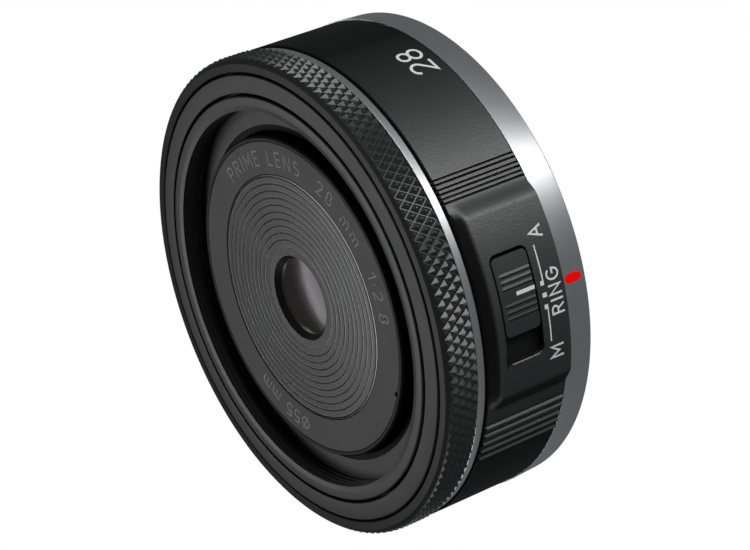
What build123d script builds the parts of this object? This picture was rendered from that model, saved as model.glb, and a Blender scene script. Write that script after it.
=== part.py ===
from build123d import *
import math
import os

# Compact wide-angle prime lens, millimetres.
# +Z is the optical axis towards the front. Z = 0 is the mount's seating face.
# Angles are azimuths about Z, counted from the index mark, which is on the -Y side.

# ---- driving dimensions ----
INDEX_AZ = -90.0
FRONT_Z = 24.7
FOCUS_TRAVEL = 4.8
CAM_TURN = 60.0
SWITCH_TURN = 5.2

FLANGE_R = 32.0
FLANGE_T = 1.4
NECK_IN_R = 23.6
NECK_OUT_R = 25.6
NECK_DEPTH = 5.4
LUG_R = 27.0
SCREW_PCR = 29.6
FLANGE_SCREW_AZ = (45, 135, 225, 315)
SCREW_HEAD_R = 1.25
SCREW_SHANK_R = 0.7
SCREW_HEAD_TOP = 0.05
SCREW_HEAD_DEPTH = 0.9
SCREW_LENGTH = 2.6
CROSS_WIDTH = 0.28
CROSS_SPAN = 1.5
LUG_AZ = (20, 140, 260)
LUG_HALF = 21
LUG_Z = (-3.9, -2.5)
LOCK_HOLE_R = 1.1
LOCK_HOLE_PCR = 28.9
LOCK_HOLE_AZ = 84
WINDOW_R = 16.6
MASK_Z = (-1.0, 0.0)
MASK_LIP_R = 17.4
MASK_LIP_Z = -2.2
CONTACTS = 12
CONTACT_SPAN = 46
CONTACT_MARGIN = 4
CONTACT_R = 0.75
CONTACT_PCR = 21.6
CONTACT_Z = (-5.1, -4.5)
BLOCK_IN_R = 18.6
BLOCK_REAR_Z = -4.9

CHASSIS_IN_R = 24.9
CHASSIS_WALL_R = 31.2
CHASSIS_BASE_Z = 2.6
POST_AZ = (0, 60, 120, 240, 300)
POST_R = 0.9
POST_PCR = 29.8
BOARD_R = (28.3, 31.0)
BOARD_Z = (3.2, 3.8)
BOARD_GAP_AZ = (330, 350)
CHIP_R = (28.8, 30.6)
# Chips on the board: middle azimuth, half width in degrees, height.
CHIPS = ((30, 3.5, 0.9), (55, 2.2, 0.6), (100, 4.0, 1.0), (128, 1.6, 0.5), (285, 3.0, 0.8))

REAR_RING_Z = (0.3, 4.68)
REAR_RING_R = (34.27, 34.48)
PILL_R = 0.6
PILL_Z = (1.8, 3.2)
PILL_FLOOR_R = 33.6
BARREL_Z = (4.68, 18.1)
BARREL_R = 34.35
BARREL_IN_R = 32.6
PANEL_R = 35.32
PANEL_HALF = 22.0
PANEL_FOOT = 25.2
PANEL_FRONT_Z = 16.5
RIB_H = 0.25
RIBS_RIGHT = (25.55, 27.7, 30.0)
RIBS_LEFT = (-28.7, -31.1, -33.5, -35.9, -38.3)
RIB_WIDTH = 1.25
RIB_TOP_SHARE = 0.55

SLOT_AZ = (-13.1, 11.3)
SLOT_Z = (9.2, 15.4)
SLOT_FLOOR_R = 34.2
SLOT_CORNER_R = 1.1
STEM_CLEARANCE = 0.3
STEM_END_GAP = 0.6
KNOB_AZ = 1.8
KNOB_HALF = 8.7
KNOB_Z = (9.45, 15.12)
KNOB_R = (34.42, 35.3)
KNOB_CORNER_R = 0.7
KNOB_GROOVES = (-4.7, -3.3, -1.9, 1.9, 3.3, 4.7)
# One finger groove: long slope, depth, short steep side (degrees, millimetres, degrees).
GROOVE_SLOPE = 0.8
GROOVE_DEPTH = 0.15
GROOVE_STEEP = 0.12
GROOVE_END_Z = (14.2, 14.95)
SLIT_HALF = 0.2
SLIT_DEPTH = 0.34
STEM_Z = (11.4, 13.0)
STEM_HALF = 1.5
STEM_FOOT_R = 32.35
KNOB_LINE_Z = 12.45
KNOB_LINE_WIDTH = 0.52
KNOB_LINE_DEPTH = 0.15
BRUSH_R = 31.8
BRUSH_Z = (11.0, 13.4)
BRUSH_HALF = 3.5
SWITCH_BOARD_R = (31.0, 31.5)
SWITCH_BOARD_Z = (9.0, 15.6)

ACCENT_Z = (18.27, 19.48)
ACCENT_R = 34.12
GRIP_Z = (19.6, 24.42)
GRIP_R = 34.42
GRIP_FACE_R = (32.4, 34.2)
TRIM_R = (29.52, 32.06)
TRIM_FRONT_Z = (24.62, 24.48)
TRIM_FOOT_Z = 21.3
TRIM_INNER_Z = 22.8
FILTER_OUT_R = 29.12
THREAD_R = 27.1
THREAD_ROOT_R = 27.5
THREAD_PITCH = 0.75
FLOOR_Z = 21.5
FLOOR_IN_R = 24.3
THREAD_TURNS = 4
THREAD_TOP_Z = 24.5
THREAD_FLAT = 0.14
THREAD_ROOT_FLAT = 0.05
THREAD_FLANK = 0.62
HOUSING_R = (30.2, 31.4)
HOUSING_TOP_Z = 24.0
GRIP_FLANGE_R = 31.5
GRIP_FLANGE_Z = (20.0, 21.0)
ENCODER_R = (31.55, 32.3)
ENCODER_TRACK_R = (31.7, 32.15)
ENCODER_Z = (19.75, 20.0)
ENCODER_SLOTS = 60
ENCODER_SLOT_Z = 19.85
RING_SENSOR_Z = (19.4, 19.6)
RING_SENSOR_AZ = (36, 40)
SENSOR_OUT_R = 32.6
WASHER_Z = (21.08, 21.22)

SLEEVE_R = (23.5, 24.3)
SLEEVE_Z = (2.6, 20.7)
SLEEVE_FOOT_R = 28.0
SLEEVE_FOOT_Z = 3.4
SLOT_HALF = 1.05
RETAINER_R = 25.4
RETAINER_Z = (17.25, 17.85)
SEAL_R = 23.45
SEAL_Z = (20.7, 21.3)
CAM_R = (24.6, 25.5)
CAM_Z = (3.7, 16.9)
ROLLER_Z = 8.5
ROLLER_R = 0.9
ROLLER_AZ = (30.0, 150.0, 270.0)
FLAG_AZ = 60
FLAG_R = 26.9
FLAG_Z = (5.2, 5.8)
HOME_SENSOR_R = (25.9, 28.1)
HOME_SENSOR_Z = (3.4, 7.2)
HOME_GAP_R = 27.3
HOME_GAP_Z = (4.6, 6.4)

TUBE_R = 23.15
TUBE_IN_R = 21.6
TUBE_Z = (4.5, 23.4)
PLATE_R = (17.75, 22.45)
PLATE_Z = 22.6
BAFFLE_R = 17.65
BAFFLE_HOLE_R = 6.1
BAFFLE_LIP_R = 5.55
BAFFLE_STEPS = 10
STEP_PITCH = 1.0
STEP_DROP = 0.28
FACE_Z = 23.38
NOTCH_AZ = 329.5
NOTCH_SIZE = (1.0, 0.7, 0.7)
WEB_Z = (13.0, 14.2)
WEB_IN_R = 9.0
CELL_SCREW_AZ = (75, 195, 315)
CELL_SCREW_PCR = 13.9
CELL_SCREW_R = 0.5
CELL_HEAD_R = 0.95
CELL_HEAD_Z = (11.7, 12.2)
CELL_SCREW_TOP = 13.8
FRONT_CELL_R = (6.3, 8.6)
FRONT_CELL_FLANGE_Z = (21.9, 22.6)

# Gears: the motor pinion drives the compound idler, which drives the cam ring's rack.
MODULE = 0.3
CAM_TEETH = 177
IDLER_SMALL = 12
IDLER_BIG = 16
MOTOR_TEETH = 8
IRIS_TEETH = 89
IRIS_PINION_TEETH = 10
IDLER_AZ = 200.0
IDLER_PCR = MODULE * (CAM_TEETH + IDLER_SMALL) / 2
MOTOR_R = 2.6
MOTOR_Z = (4.5, 13.9)
MOTOR_BOSS_R = 1.0
MOTOR_BOSS_Z = 14.2
MOTOR_SHAFT_R = 0.4
MOTOR_SHAFT_Z = 18.0
GEAR_BORE_R = 0.45
HUB_R = 1.2
BRACKET_R = (26.0, 31.2)
BRACKET_Z = (14.2, 14.7)
BRACKET_AZ = (-7, 15)
RACK_Z = (15.2, 16.5)
BIG_GEAR_Z = (17.0, 17.9)

# Tooth shape, in modules and in shares of the pitch.
TOOTH_ROOT = 1.1
TOOTH_TIP = 0.7
ROOT_SHARE = 0.27
TIP_SHARE = 0.11

# Iris: seven blades in seven thin layers.
BLADES = 7
IRIS_Z = 14.2
IRIS_PLATE_Z = 14.55
IRIS_HOLE_R = 5.7
IRIS_WALL_R = (12.5, 13.0)
IRIS_GATE_HALF = 22
BLADE_T = 0.1
BLADE_STEP = 0.15
BLADE_Z = 14.65
PIVOT_PCR = 11.3
LEVER = 1.9
BLADE_R = (6.1, 8.9)
BLADE_SPAN = (-4, 112)
BLADE_EYE_R = 1.15
BLADE_BORE_R = 0.5
PIVOT_R = 0.4
DRIVE_PIN_R = 0.3
IRIS_RING_R = (8.9, 12.1)
IRIS_RING_Z = (15.8, 16.15)
IRIS_TOP_Z = 16.5
IRIS_PINION_AZ = 80.0
IRIS_PINION_Z = (15.7, 16.3)
IRIS_RACK_HALF = 12
EAR_R = (8.8, 18.6)
EAR_Z = 16.9
EAR_HALF = 14
EAR_BORE_R = 1.9
IRIS_MOTOR_R = 2.9
IRIS_MOTOR_Z = (16.9, 21.5)
IRIS_SHAFT_Z = 15.6

# Glass: radius, rear edge Z, front edge Z, rear bulge, front bulge (negative is hollow).
GLASS = (
    (6.28, 21.3, 22.42, -0.55, 0.78),
    (6.28, 19.7, 20.6, 0.35, -0.4),
    (6.28, 18.3, 19.0, 0.9, 0.25),
    (6.28, 16.9, 18.3, 0.2, -0.9),
    (7.1, 12.1, 13.6, 0.8, 0.3),
    (7.1, 10.9, 12.1, 0.3, -0.8),
    (10.8, 6.6, 8.4, 0.9, -1.3),
    (14.4, -0.9, 1.3, 0.5, -1.6),
)

os.makedirs("parts", exist_ok=True)


def point(radius, az, z=0.0):
    """A point at an azimuth counted from the index mark."""
    turn = math.radians(az + INDEX_AZ)
    return Vector(radius * math.cos(turn), radius * math.sin(turn), z)


def ring(inner, outer, low, high):
    """A plain ring about the optical axis."""
    body = Pos(0, 0, (low + high) / 2) * Cylinder(outer, high - low)
    if inner > 0:
        body -= Pos(0, 0, (low + high) / 2) * Cylinder(inner, high - low + 1)
    return body


def turned(points):
    """A solid of revolution from a closed outline of (radius, z) corners."""
    corners = [(r, 0, z) for r, z in points]
    outline = Polyline(*corners, close=True)
    return revolve(make_face(outline), Axis.Z, 360)


def sector(inner, outer, low, high, az_from, az_to):
    """A ring segment between two azimuths."""
    middle = (az_from + az_to) / 2
    near = Line(point(inner, az_from), point(outer, az_from))
    rim = ThreePointArc(point(outer, az_from), point(outer, middle), point(outer, az_to))
    far = Line(point(outer, az_to), point(inner, az_to))
    bore = ThreePointArc(point(inner, az_to), point(inner, middle), point(inner, az_from))
    return Pos(0, 0, low) * extrude(make_face([near, rim, far, bore]), high - low)


def post(radius, pcr, az, low, high):
    """A cylinder parallel to the axis."""
    place = point(pcr, az, (low + high) / 2)
    return Pos(place.X, place.Y, place.Z) * Cylinder(radius, high - low)


def axle(centre, radius, low, high):
    """A cylinder parallel to the axis, standing at a centre point."""
    return Pos(centre.X, centre.Y, (low + high) / 2) * Cylinder(radius, high - low)


def radial_pin(radius, az, z, inner, outer):
    """A cylinder that points away from the axis."""
    place = point((inner + outer) / 2, az, z)
    turn = Rot(0, 0, az + INDEX_AZ) * Rot(0, 90, 0)
    return Pos(place.X, place.Y, place.Z) * turn * Cylinder(radius, outer - inner)


def save(name, shape):
    """Write one sub-part under its everyday name."""
    shape.label = name
    export_step(shape, f"parts/{name}.step")


def gear_outline(teeth, phase):
    """Tooth corners of a small spur gear, as (radius, degrees)."""
    pitch = 360.0 / teeth
    radius = MODULE * teeth / 2
    corners = []
    for tooth in range(teeth):
        middle = phase + tooth * pitch
        corners.append((radius - TOOTH_ROOT * MODULE, middle - ROOT_SHARE * pitch))
        corners.append((radius + TOOTH_TIP * MODULE, middle - TIP_SHARE * pitch))
        corners.append((radius + TOOTH_TIP * MODULE, middle + TIP_SHARE * pitch))
        corners.append((radius - TOOTH_ROOT * MODULE, middle + ROOT_SHARE * pitch))
    return corners


def gear(teeth, phase, low, high, centre):
    """A spur gear on its own axle, standing at a centre point."""
    corners = []
    for radius, deg in gear_outline(teeth, phase):
        turn = math.radians(deg)
        corners.append((radius * math.cos(turn), radius * math.sin(turn)))
    face = make_face(Polyline(*corners, close=True))
    return Pos(centre.X, centre.Y, low) * extrude(face, high - low)


def rack(teeth, mesh_az, inner, low, high, az_from, az_to):
    """Teeth on part of a ring, with a gap between two teeth at mesh_az."""
    pitch = 360.0 / teeth
    radius = MODULE * teeth / 2
    root = radius - TOOTH_ROOT * MODULE
    first = math.ceil((az_from - mesh_az) / pitch)
    last = math.floor((az_to - mesh_az) / pitch)
    corners = [point(inner, az_from), point(root, az_from)]
    for tooth in range(first, last):
        middle = mesh_az + (tooth + 0.5) * pitch
        corners.append(point(root, middle - ROOT_SHARE * pitch))
        corners.append(point(radius + TOOTH_TIP * MODULE, middle - TIP_SHARE * pitch))
        corners.append(point(radius + TOOTH_TIP * MODULE, middle + TIP_SHARE * pitch))
        corners.append(point(root, middle + ROOT_SHARE * pitch))
    corners.append(point(root, az_to))
    corners.append(point(inner, az_to))
    rim = Polyline(*corners)
    bore = ThreePointArc(corners[-1], point(inner, (az_from + az_to) / 2), corners[0])
    return Pos(0, 0, low) * extrude(make_face([rim, bore]), high - low)


# ---- mount side ----

def mount_flange():
    """Metal bayonet: seating plate, neck, three lugs, lock-pin hole and screw seats."""
    plate = ring(NECK_IN_R, FLANGE_R, 0, FLANGE_T)
    neck = ring(NECK_IN_R, NECK_OUT_R, -NECK_DEPTH, 0.2)
    body = plate + neck
    for middle in LUG_AZ:
        body += sector(NECK_OUT_R - 0.3, LUG_R, *LUG_Z, middle - LUG_HALF, middle + LUG_HALF)
    body -= post(LOCK_HOLE_R, LOCK_HOLE_PCR, LOCK_HOLE_AZ, -1, FLANGE_T + 1)
    for az in FLANGE_SCREW_AZ:
        body -= post(SCREW_HEAD_R, SCREW_PCR, az, -0.5, SCREW_HEAD_DEPTH)
        body -= post(SCREW_SHANK_R, SCREW_PCR, az, 0, 3)
    return body


def flange_screws():
    """Cross-head screws that hold the flange to the chassis."""
    screws = []
    for az in FLANGE_SCREW_AZ:
        head = post(SCREW_HEAD_R, SCREW_PCR, az, SCREW_HEAD_TOP, SCREW_HEAD_DEPTH)
        shank = post(SCREW_SHANK_R, SCREW_PCR, az, SCREW_HEAD_DEPTH, SCREW_LENGTH)
        place = point(SCREW_PCR, az, SCREW_HEAD_TOP)
        cross = Box(CROSS_SPAN, CROSS_WIDTH, 0.7) + Box(CROSS_WIDTH, CROSS_SPAN, 0.7)
        screws.append(head + shank - Pos(place.X, place.Y, place.Z) * Rot(0, 0, az) * cross)
    return Compound(screws)


def rear_baffle():
    """Black plate inside the neck that masks stray light."""
    plate = ring(WINDOW_R, NECK_IN_R, *MASK_Z)
    lip = ring(WINDOW_R, MASK_LIP_R, MASK_LIP_Z, MASK_Z[0])
    return plate + lip


def contact_block():
    """Curved plastic block that carries the electrical contacts."""
    body = sector(BLOCK_IN_R, NECK_IN_R, BLOCK_REAR_Z, MASK_Z[0], 180 - CONTACT_SPAN, 180 + CONTACT_SPAN)
    for az in contact_azimuths():
        body -= post(CONTACT_R, CONTACT_PCR, az, CONTACT_Z[0] - 0.4, CONTACT_Z[1])
    return body


def contact_azimuths():
    """Evenly spaced contact positions on the block."""
    half = CONTACT_SPAN - CONTACT_MARGIN
    return [180 - half + i * 2 * half / (CONTACTS - 1) for i in range(CONTACTS)]


def contact_pads():
    """Round gold contacts, each in its own well."""
    return Compound([post(CONTACT_R, CONTACT_PCR, az, *CONTACT_Z) for az in contact_azimuths()])


def rear_ring():
    """Bright metal ring between the mount and the barrel."""
    low, high = REAR_RING_Z
    r_low, r_high = REAR_RING_R
    body = turned([(FLANGE_R, low), (r_low - 0.15, low), (r_low, low + 0.15),
                   (r_high, high - 0.1), (r_high - 0.1, high), (FLANGE_R, high)])
    return body - index_pill(PILL_FLOOR_R, 36)


def index_pill(inner, outer):
    """The rounded index mark's outline, pushed out from the axis."""
    low, high = PILL_Z
    body = radial_pin(PILL_R, 0, low, inner, outer) + radial_pin(PILL_R, 0, high, inner, outer)
    middle = point((inner + outer) / 2, 0, (low + high) / 2)
    return body + Pos(middle.X, middle.Y, middle.Z) * Box(2 * PILL_R, outer - inner, high - low)


def index_mark():
    """Alignment mark, inlaid in the rear ring and almost flush with it."""
    return index_pill(PILL_FLOOR_R, 35) & ring(30, REAR_RING_R[1] + 0.03, 0, 5)


# ---- fixed structure ----

def main_chassis():
    """Fixed frame: base plate, outer wall, board posts and a window behind the switch."""
    base = ring(CHASSIS_IN_R, FLANGE_R, FLANGE_T, CHASSIS_BASE_Z)
    wall = ring(CHASSIS_WALL_R, FLANGE_R, CHASSIS_BASE_Z, BARREL_Z[1])
    body = base + wall
    body -= sector(30, 33, *SWITCH_BOARD_Z, SLOT_AZ[0] - 1, SLOT_AZ[1] + 1)
    for az in POST_AZ:
        body += post(POST_R, POST_PCR, az, CHASSIS_BASE_Z - 0.1, BOARD_Z[0])
    for az in FLANGE_SCREW_AZ:
        body -= post(SCREW_SHANK_R, SCREW_PCR, az, 1, 3)
    return body


def main_board():
    """Ring-shaped circuit board over the base plate."""
    return ring(*BOARD_R, *BOARD_Z) - sector(27, 32, 3, 4, *BOARD_GAP_AZ)


def board_chips():
    """Chips soldered to the board."""
    chips = []
    for az, half, height in CHIPS:
        chips.append(sector(*CHIP_R, BOARD_Z[1], BOARD_Z[1] + height, az - half, az + half))
    return Compound(chips)


def guide_sleeve():
    """Fixed sleeve with three straight slots that keep the focus tube from turning."""
    body = ring(*SLEEVE_R, *SLEEVE_Z) + ring(SLEEVE_R[0], SLEEVE_FOOT_R, SLEEVE_Z[0], SLEEVE_FOOT_Z)
    for az in ROLLER_AZ:
        low = ROLLER_Z
        high = ROLLER_Z + FOCUS_TRAVEL
        cut = radial_pin(SLOT_HALF, az, low, 23, 25) + radial_pin(SLOT_HALF, az, high, 23, 25)
        place = point(24, az, (low + high) / 2)
        bar = Rot(0, 0, az + INDEX_AZ) * Box(2, 2 * SLOT_HALF, high - low)
        body -= cut + Pos(place.X, place.Y, place.Z) * bar
    return body


def cam_retainer():
    """Clip ring that keeps the cam ring on the sleeve."""
    return ring(SLEEVE_R[1], RETAINER_R, *RETAINER_Z)


def dust_seal():
    """Soft ring that closes the gap round the focus tube."""
    return ring(SEAL_R, SLEEVE_R[1], *SEAL_Z)


def motor_centre():
    """Where the focus motor stands: in mesh with the idler's large gear."""
    reach = MODULE * (IDLER_BIG + MOTOR_TEETH) / 2
    half = math.degrees(math.asin(reach / 2 / IDLER_PCR))
    return point(IDLER_PCR, IDLER_AZ + 2 * half)


def focus_motor():
    """Small stepping motor with its shaft pointing to the front."""
    place = motor_centre()
    can = axle(place, MOTOR_R, *MOTOR_Z)
    boss = axle(place, MOTOR_BOSS_R, MOTOR_Z[1], MOTOR_BOSS_Z)
    return can + boss + axle(place, MOTOR_SHAFT_R, MOTOR_Z[1], MOTOR_SHAFT_Z)


def gear_bracket():
    """Plate that holds the motor's nose and the idler's axle."""
    first, last = BRACKET_AZ
    plate = sector(*BRACKET_R, *BRACKET_Z, IDLER_AZ + first, IDLER_AZ + last)
    stub = post(MOTOR_SHAFT_R, IDLER_PCR, IDLER_AZ, BRACKET_Z[1], MOTOR_SHAFT_Z)
    return plate + stub - axle(motor_centre(), MOTOR_BOSS_R, BRACKET_Z[0] - 1, BRACKET_Z[1] + 1)


def idler_gear():
    """Compound gear: a small one for the rack and a big one for the motor pinion."""
    centre = point(IDLER_PCR, IDLER_AZ)
    place = motor_centre()
    to_motor = math.degrees(math.atan2(place.Y - centre.Y, place.X - centre.X))
    to_axis = IDLER_AZ + INDEX_AZ + 180
    big_phase = to_motor + 180 / IDLER_BIG
    body = gear(IDLER_SMALL, to_axis, *RACK_Z, centre)
    body += gear(IDLER_BIG, big_phase, *BIG_GEAR_Z, centre)
    body += axle(centre, HUB_R, RACK_Z[1], BIG_GEAR_Z[0])
    return body - axle(centre, GEAR_BORE_R, RACK_Z[0] - 1, BIG_GEAR_Z[1] + 1)


def motor_pinion():
    """Brass pinion on the motor shaft."""
    centre = point(IDLER_PCR, IDLER_AZ)
    place = motor_centre()
    to_idler = math.degrees(math.atan2(centre.Y - place.Y, centre.X - place.X))
    body = gear(MOTOR_TEETH, to_idler, *BIG_GEAR_Z, place)
    return body - axle(place, GEAR_BORE_R, BIG_GEAR_Z[0] - 1, BIG_GEAR_Z[1] + 1)


def cam_ring():
    """Turning ring with three helical slots, a rack and a small flag for the home sensor."""
    body = ring(CAM_R[0], CAM_R[1], *CAM_Z)
    rack_from = IDLER_AZ - CAM_TURN - 6
    body += rack(CAM_TEETH, IDLER_AZ, CAM_R[1] - 0.2, *RACK_Z, rack_from, IDLER_AZ + 6)
    for az in ROLLER_AZ:
        body -= helical_slot(az)
    return body + sector(CAM_R[1] - 0.2, FLAG_R, *FLAG_Z, FLAG_AZ - 2, FLAG_AZ + 2)


def helical_slot(az):
    """Cutter for one sloping slot, as overlapping short blocks along the helix."""
    slope = math.degrees(math.atan2(FOCUS_TRAVEL, math.radians(CAM_TURN) * CAM_R[1]))
    steps = 12
    cutter = radial_pin(SLOT_HALF, az, ROLLER_Z, 24, 26)
    cutter += radial_pin(SLOT_HALF, az - CAM_TURN, ROLLER_Z + FOCUS_TRAVEL, 24, 26)
    length = math.radians(CAM_TURN) * CAM_R[1] / steps / math.cos(math.radians(slope)) + 0.5
    for step in range(steps):
        part = (step + 0.5) / steps
        turn = az - CAM_TURN * part
        place = point(25, turn, ROLLER_Z + FOCUS_TRAVEL * part)
        tilt = Rot(0, 0, turn + INDEX_AZ) * Rot(-slope, 0, 0)
        cutter += Pos(place.X, place.Y, place.Z) * tilt * Box(2.4, length, 2 * SLOT_HALF)
    return cutter


def home_sensor():
    """Forked light sensor that the cam ring's flag passes through at rest."""
    body = sector(*HOME_SENSOR_R, *HOME_SENSOR_Z, FLAG_AZ - 5, FLAG_AZ + 5)
    return body - sector(25, HOME_GAP_R, *HOME_GAP_Z, FLAG_AZ - 6, FLAG_AZ + 6)


# ---- barrel and switch ----

def panel():
    """Raised switch panel, with sloping sides and a sloping front."""
    near = Line(point(33, -PANEL_FOOT), point(BARREL_R - 0.02, -PANEL_FOOT))
    rise = Line(point(BARREL_R - 0.02, -PANEL_FOOT), point(PANEL_R, -PANEL_HALF))
    rim = ThreePointArc(point(PANEL_R, -PANEL_HALF), point(PANEL_R, 0), point(PANEL_R, PANEL_HALF))
    fall = Line(point(PANEL_R, PANEL_HALF), point(BARREL_R - 0.02, PANEL_FOOT))
    far = Line(point(BARREL_R - 0.02, PANEL_FOOT), point(33, PANEL_FOOT))
    back = ThreePointArc(point(33, PANEL_FOOT), point(33, 0), point(33, -PANEL_FOOT))
    low, high = BARREL_Z
    block = Pos(0, 0, low) * extrude(make_face([near, rise, rim, fall, far, back]), high - low - 0.1)
    slope = turned([(BARREL_R - 0.05, high), (PANEL_R, PANEL_FRONT_Z), (PANEL_R + 2, PANEL_FRONT_Z),
                    (PANEL_R + 2, high)])
    return block - slope


def outer_barrel():
    """Black barrel with the switch panel and two groups of fine ribs."""
    low, high = BARREL_Z
    body = turned([(FLANGE_R, low), (BARREL_R, low), (BARREL_R, high - 0.25), (BARREL_R - 0.3, high),
                   (FLANGE_R, high), (FLANGE_R, high - 0.9), (BARREL_IN_R, high - 0.9),
                   (BARREL_IN_R, low + 0.9), (FLANGE_R, low + 0.9)])
    body += panel()
    for az in RIBS_RIGHT + RIBS_LEFT:
        body += rib(az)
    return body - switch_slot()


def rib(az):
    """One low rib with sloping flanks, full height of the barrel."""
    half = RIB_WIDTH / 2
    base = BARREL_R - 0.4
    top = BARREL_R + RIB_H
    crown = half * RIB_TOP_SHARE
    corners = [point(base, az - half), point(BARREL_R - 0.02, az - half), point(top, az - crown),
               point(top, az + crown), point(BARREL_R - 0.02, az + half), point(base, az + half)]
    face = make_face(Polyline(*corners, close=True))
    return Pos(0, 0, BARREL_Z[0]) * extrude(face, BARREL_Z[1] - BARREL_Z[0] - 0.12)


def switch_slot():
    """Cutter for the switch: a shallow pocket with round corners and a narrow through slot."""
    corner = SLOT_CORNER_R
    low, high = SLOT_Z
    first, last = SLOT_AZ
    turn = math.degrees(corner / PANEL_R)
    outer = PANEL_R + 1
    pocket = sector(SLOT_FLOOR_R, outer, low, high, first + turn, last - turn)
    pocket += sector(SLOT_FLOOR_R, outer, low + corner, high - corner, first, last)
    for az in (first + turn, last - turn):
        for z in (low + corner, high - corner):
            pocket += radial_pin(corner, az, z, SLOT_FLOOR_R - 0.02, outer)
    through = sector(31, outer, STEM_Z[0] - STEM_CLEARANCE, STEM_Z[1] + STEM_CLEARANCE,
                     KNOB_AZ - SWITCH_TURN - STEM_HALF - STEM_END_GAP, KNOB_AZ + STEM_HALF + STEM_END_GAP)
    return pocket + through


def switch_knob():
    """Sliding focus-mode knob with six finger grooves and a stem through the barrel."""
    body = sector(*KNOB_R, *KNOB_Z, KNOB_AZ - KNOB_HALF, KNOB_AZ + KNOB_HALF)
    thick = KNOB_R[1] - KNOB_R[0]
    corners = [edge for edge in body.edges() if abs(edge.length - thick) < 0.001]
    body = fillet(corners, KNOB_CORNER_R)
    for offset in KNOB_GROOVES:
        body -= knob_groove(KNOB_AZ + offset)
    body += sector(STEM_FOOT_R, KNOB_R[0] + 0.2, *STEM_Z, KNOB_AZ - STEM_HALF, KNOB_AZ + STEM_HALF)
    return body - line_pill(KNOB_R[1] - KNOB_LINE_DEPTH, 36)


def knob_groove(az):
    """Cutter for one finger groove: an uneven vee that runs out towards the front."""
    above = 0.1
    top = KNOB_R[1] + above
    reach = GROOVE_SLOPE * (1 + above / GROOVE_DEPTH)
    deep = az + GROOVE_SLOPE / 2
    vee = make_face(Polyline(point(top, deep - reach), point(KNOB_R[1] - GROOVE_DEPTH, deep),
                             point(top, deep + GROOVE_STEEP * 1.5), close=True))
    tip = make_face(Polyline(point(top, az - 0.05), point(top - 0.04, az), point(top, az + 0.05), close=True))
    foot = deep - GROOVE_SLOPE
    slit = make_face(Polyline(point(top, foot - SLIT_HALF), point(KNOB_R[1] - SLIT_DEPTH, foot),
                              point(top, foot + SLIT_HALF), close=True))
    start, stop = GROOVE_END_Z
    run = Pos(0, 0, KNOB_Z[0] - 1) * extrude(vee, start - KNOB_Z[0] + 1)
    run += Pos(0, 0, KNOB_Z[0] - 1) * extrude(slit, start - KNOB_Z[0] + 1.2)
    end = loft([Pos(0, 0, start) * vee, Pos(0, 0, stop) * tip])
    return run + end


def line_pill(inner, outer):
    """The knob line's outline, from the knob's rear edge, pushed out from the axis."""
    low = KNOB_Z[0]
    middle = point((inner + outer) / 2, KNOB_AZ, (low + KNOB_LINE_Z) / 2)
    turn = Rot(0, 0, KNOB_AZ + INDEX_AZ)
    return Pos(middle.X, middle.Y, middle.Z) * turn * Box(outer - inner, KNOB_LINE_WIDTH, KNOB_LINE_Z - low)


def knob_line():
    """White line let into the knob."""
    return line_pill(KNOB_R[1] - KNOB_LINE_DEPTH, KNOB_R[1] + 0.01)


def switch_brush():
    """Brass wiper on the knob's stem."""
    arms = sector(BRUSH_R, STEM_FOOT_R, *BRUSH_Z, KNOB_AZ - BRUSH_HALF, KNOB_AZ + BRUSH_HALF)
    return arms - sector(31, 33, 11.9, 12.5, KNOB_AZ - BRUSH_HALF - 1.5, KNOB_AZ - STEM_HALF)


def switch_board():
    """Small curved board with the switch's contact tracks."""
    return sector(*SWITCH_BOARD_R, *SWITCH_BOARD_Z, SLOT_AZ[0] - 1, SLOT_AZ[1] + 1)


def accent_ring():
    """Thin bright ring behind the grip, seated on the barrel's front."""
    low, high = ACCENT_Z
    return turned([(FLANGE_R, BARREL_Z[1]), (33.4, BARREL_Z[1]), (33.4, low), (ACCENT_R - 0.1, low),
                   (ACCENT_R, low + 0.1), (ACCENT_R, high - 0.1), (ACCENT_R - 0.1, high), (33.0, high),
                   (33.0, 19.4), (FLANGE_R, 19.4)])


# ---- front ----

def front_housing():
    """Fixed front body: grip bearing, filter ring seat and the floor round the focus tube."""
    inner, outer = HOUSING_R
    seat = BARREL_Z[1]
    shelf = RING_SENSOR_Z[0]
    return turned([(inner, seat), (FLANGE_R, seat), (FLANGE_R, shelf), (outer, shelf), (outer, HOUSING_TOP_Z),
                   (inner, HOUSING_TOP_Z), (inner, FLOOR_Z), (FLOOR_IN_R, FLOOR_Z), (FLOOR_IN_R, SEAL_Z[0]),
                   (inner, SEAL_Z[0])])


def control_ring():
    """Grip ring that turns without stops; an inner flange keeps it in place."""
    low, high = GRIP_Z
    face_in, face_out = GRIP_FACE_R
    rear, front = GRIP_FLANGE_Z
    return turned([(face_in, low), (GRIP_R - 0.1, low), (GRIP_R, low + 0.1), (GRIP_R, high - 0.35),
                   (face_out, high), (face_in, high), (face_in, front), (GRIP_FLANGE_R, front),
                   (GRIP_FLANGE_R, rear), (face_in, rear)])


def encoder_strip():
    """Striped ring under the grip's inner flange, read by the ring sensor."""
    body = ring(*ENCODER_R, *ENCODER_Z)
    for i in range(ENCODER_SLOTS):
        az = i * 360 / ENCODER_SLOTS
        body -= sector(*ENCODER_TRACK_R, ENCODER_Z[0] - 0.05, ENCODER_SLOT_Z, az, az + 180 / ENCODER_SLOTS)
    return body


def ring_sensor():
    """Reader for the encoder strip."""
    return sector(HOUSING_R[1], SENSOR_OUT_R, *RING_SENSOR_Z, *RING_SENSOR_AZ)


def wave_washer():
    """Spring washer that gives the grip its smooth drag."""
    return ring(GRIP_FLANGE_R, FLANGE_R, *WASHER_Z)


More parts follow.
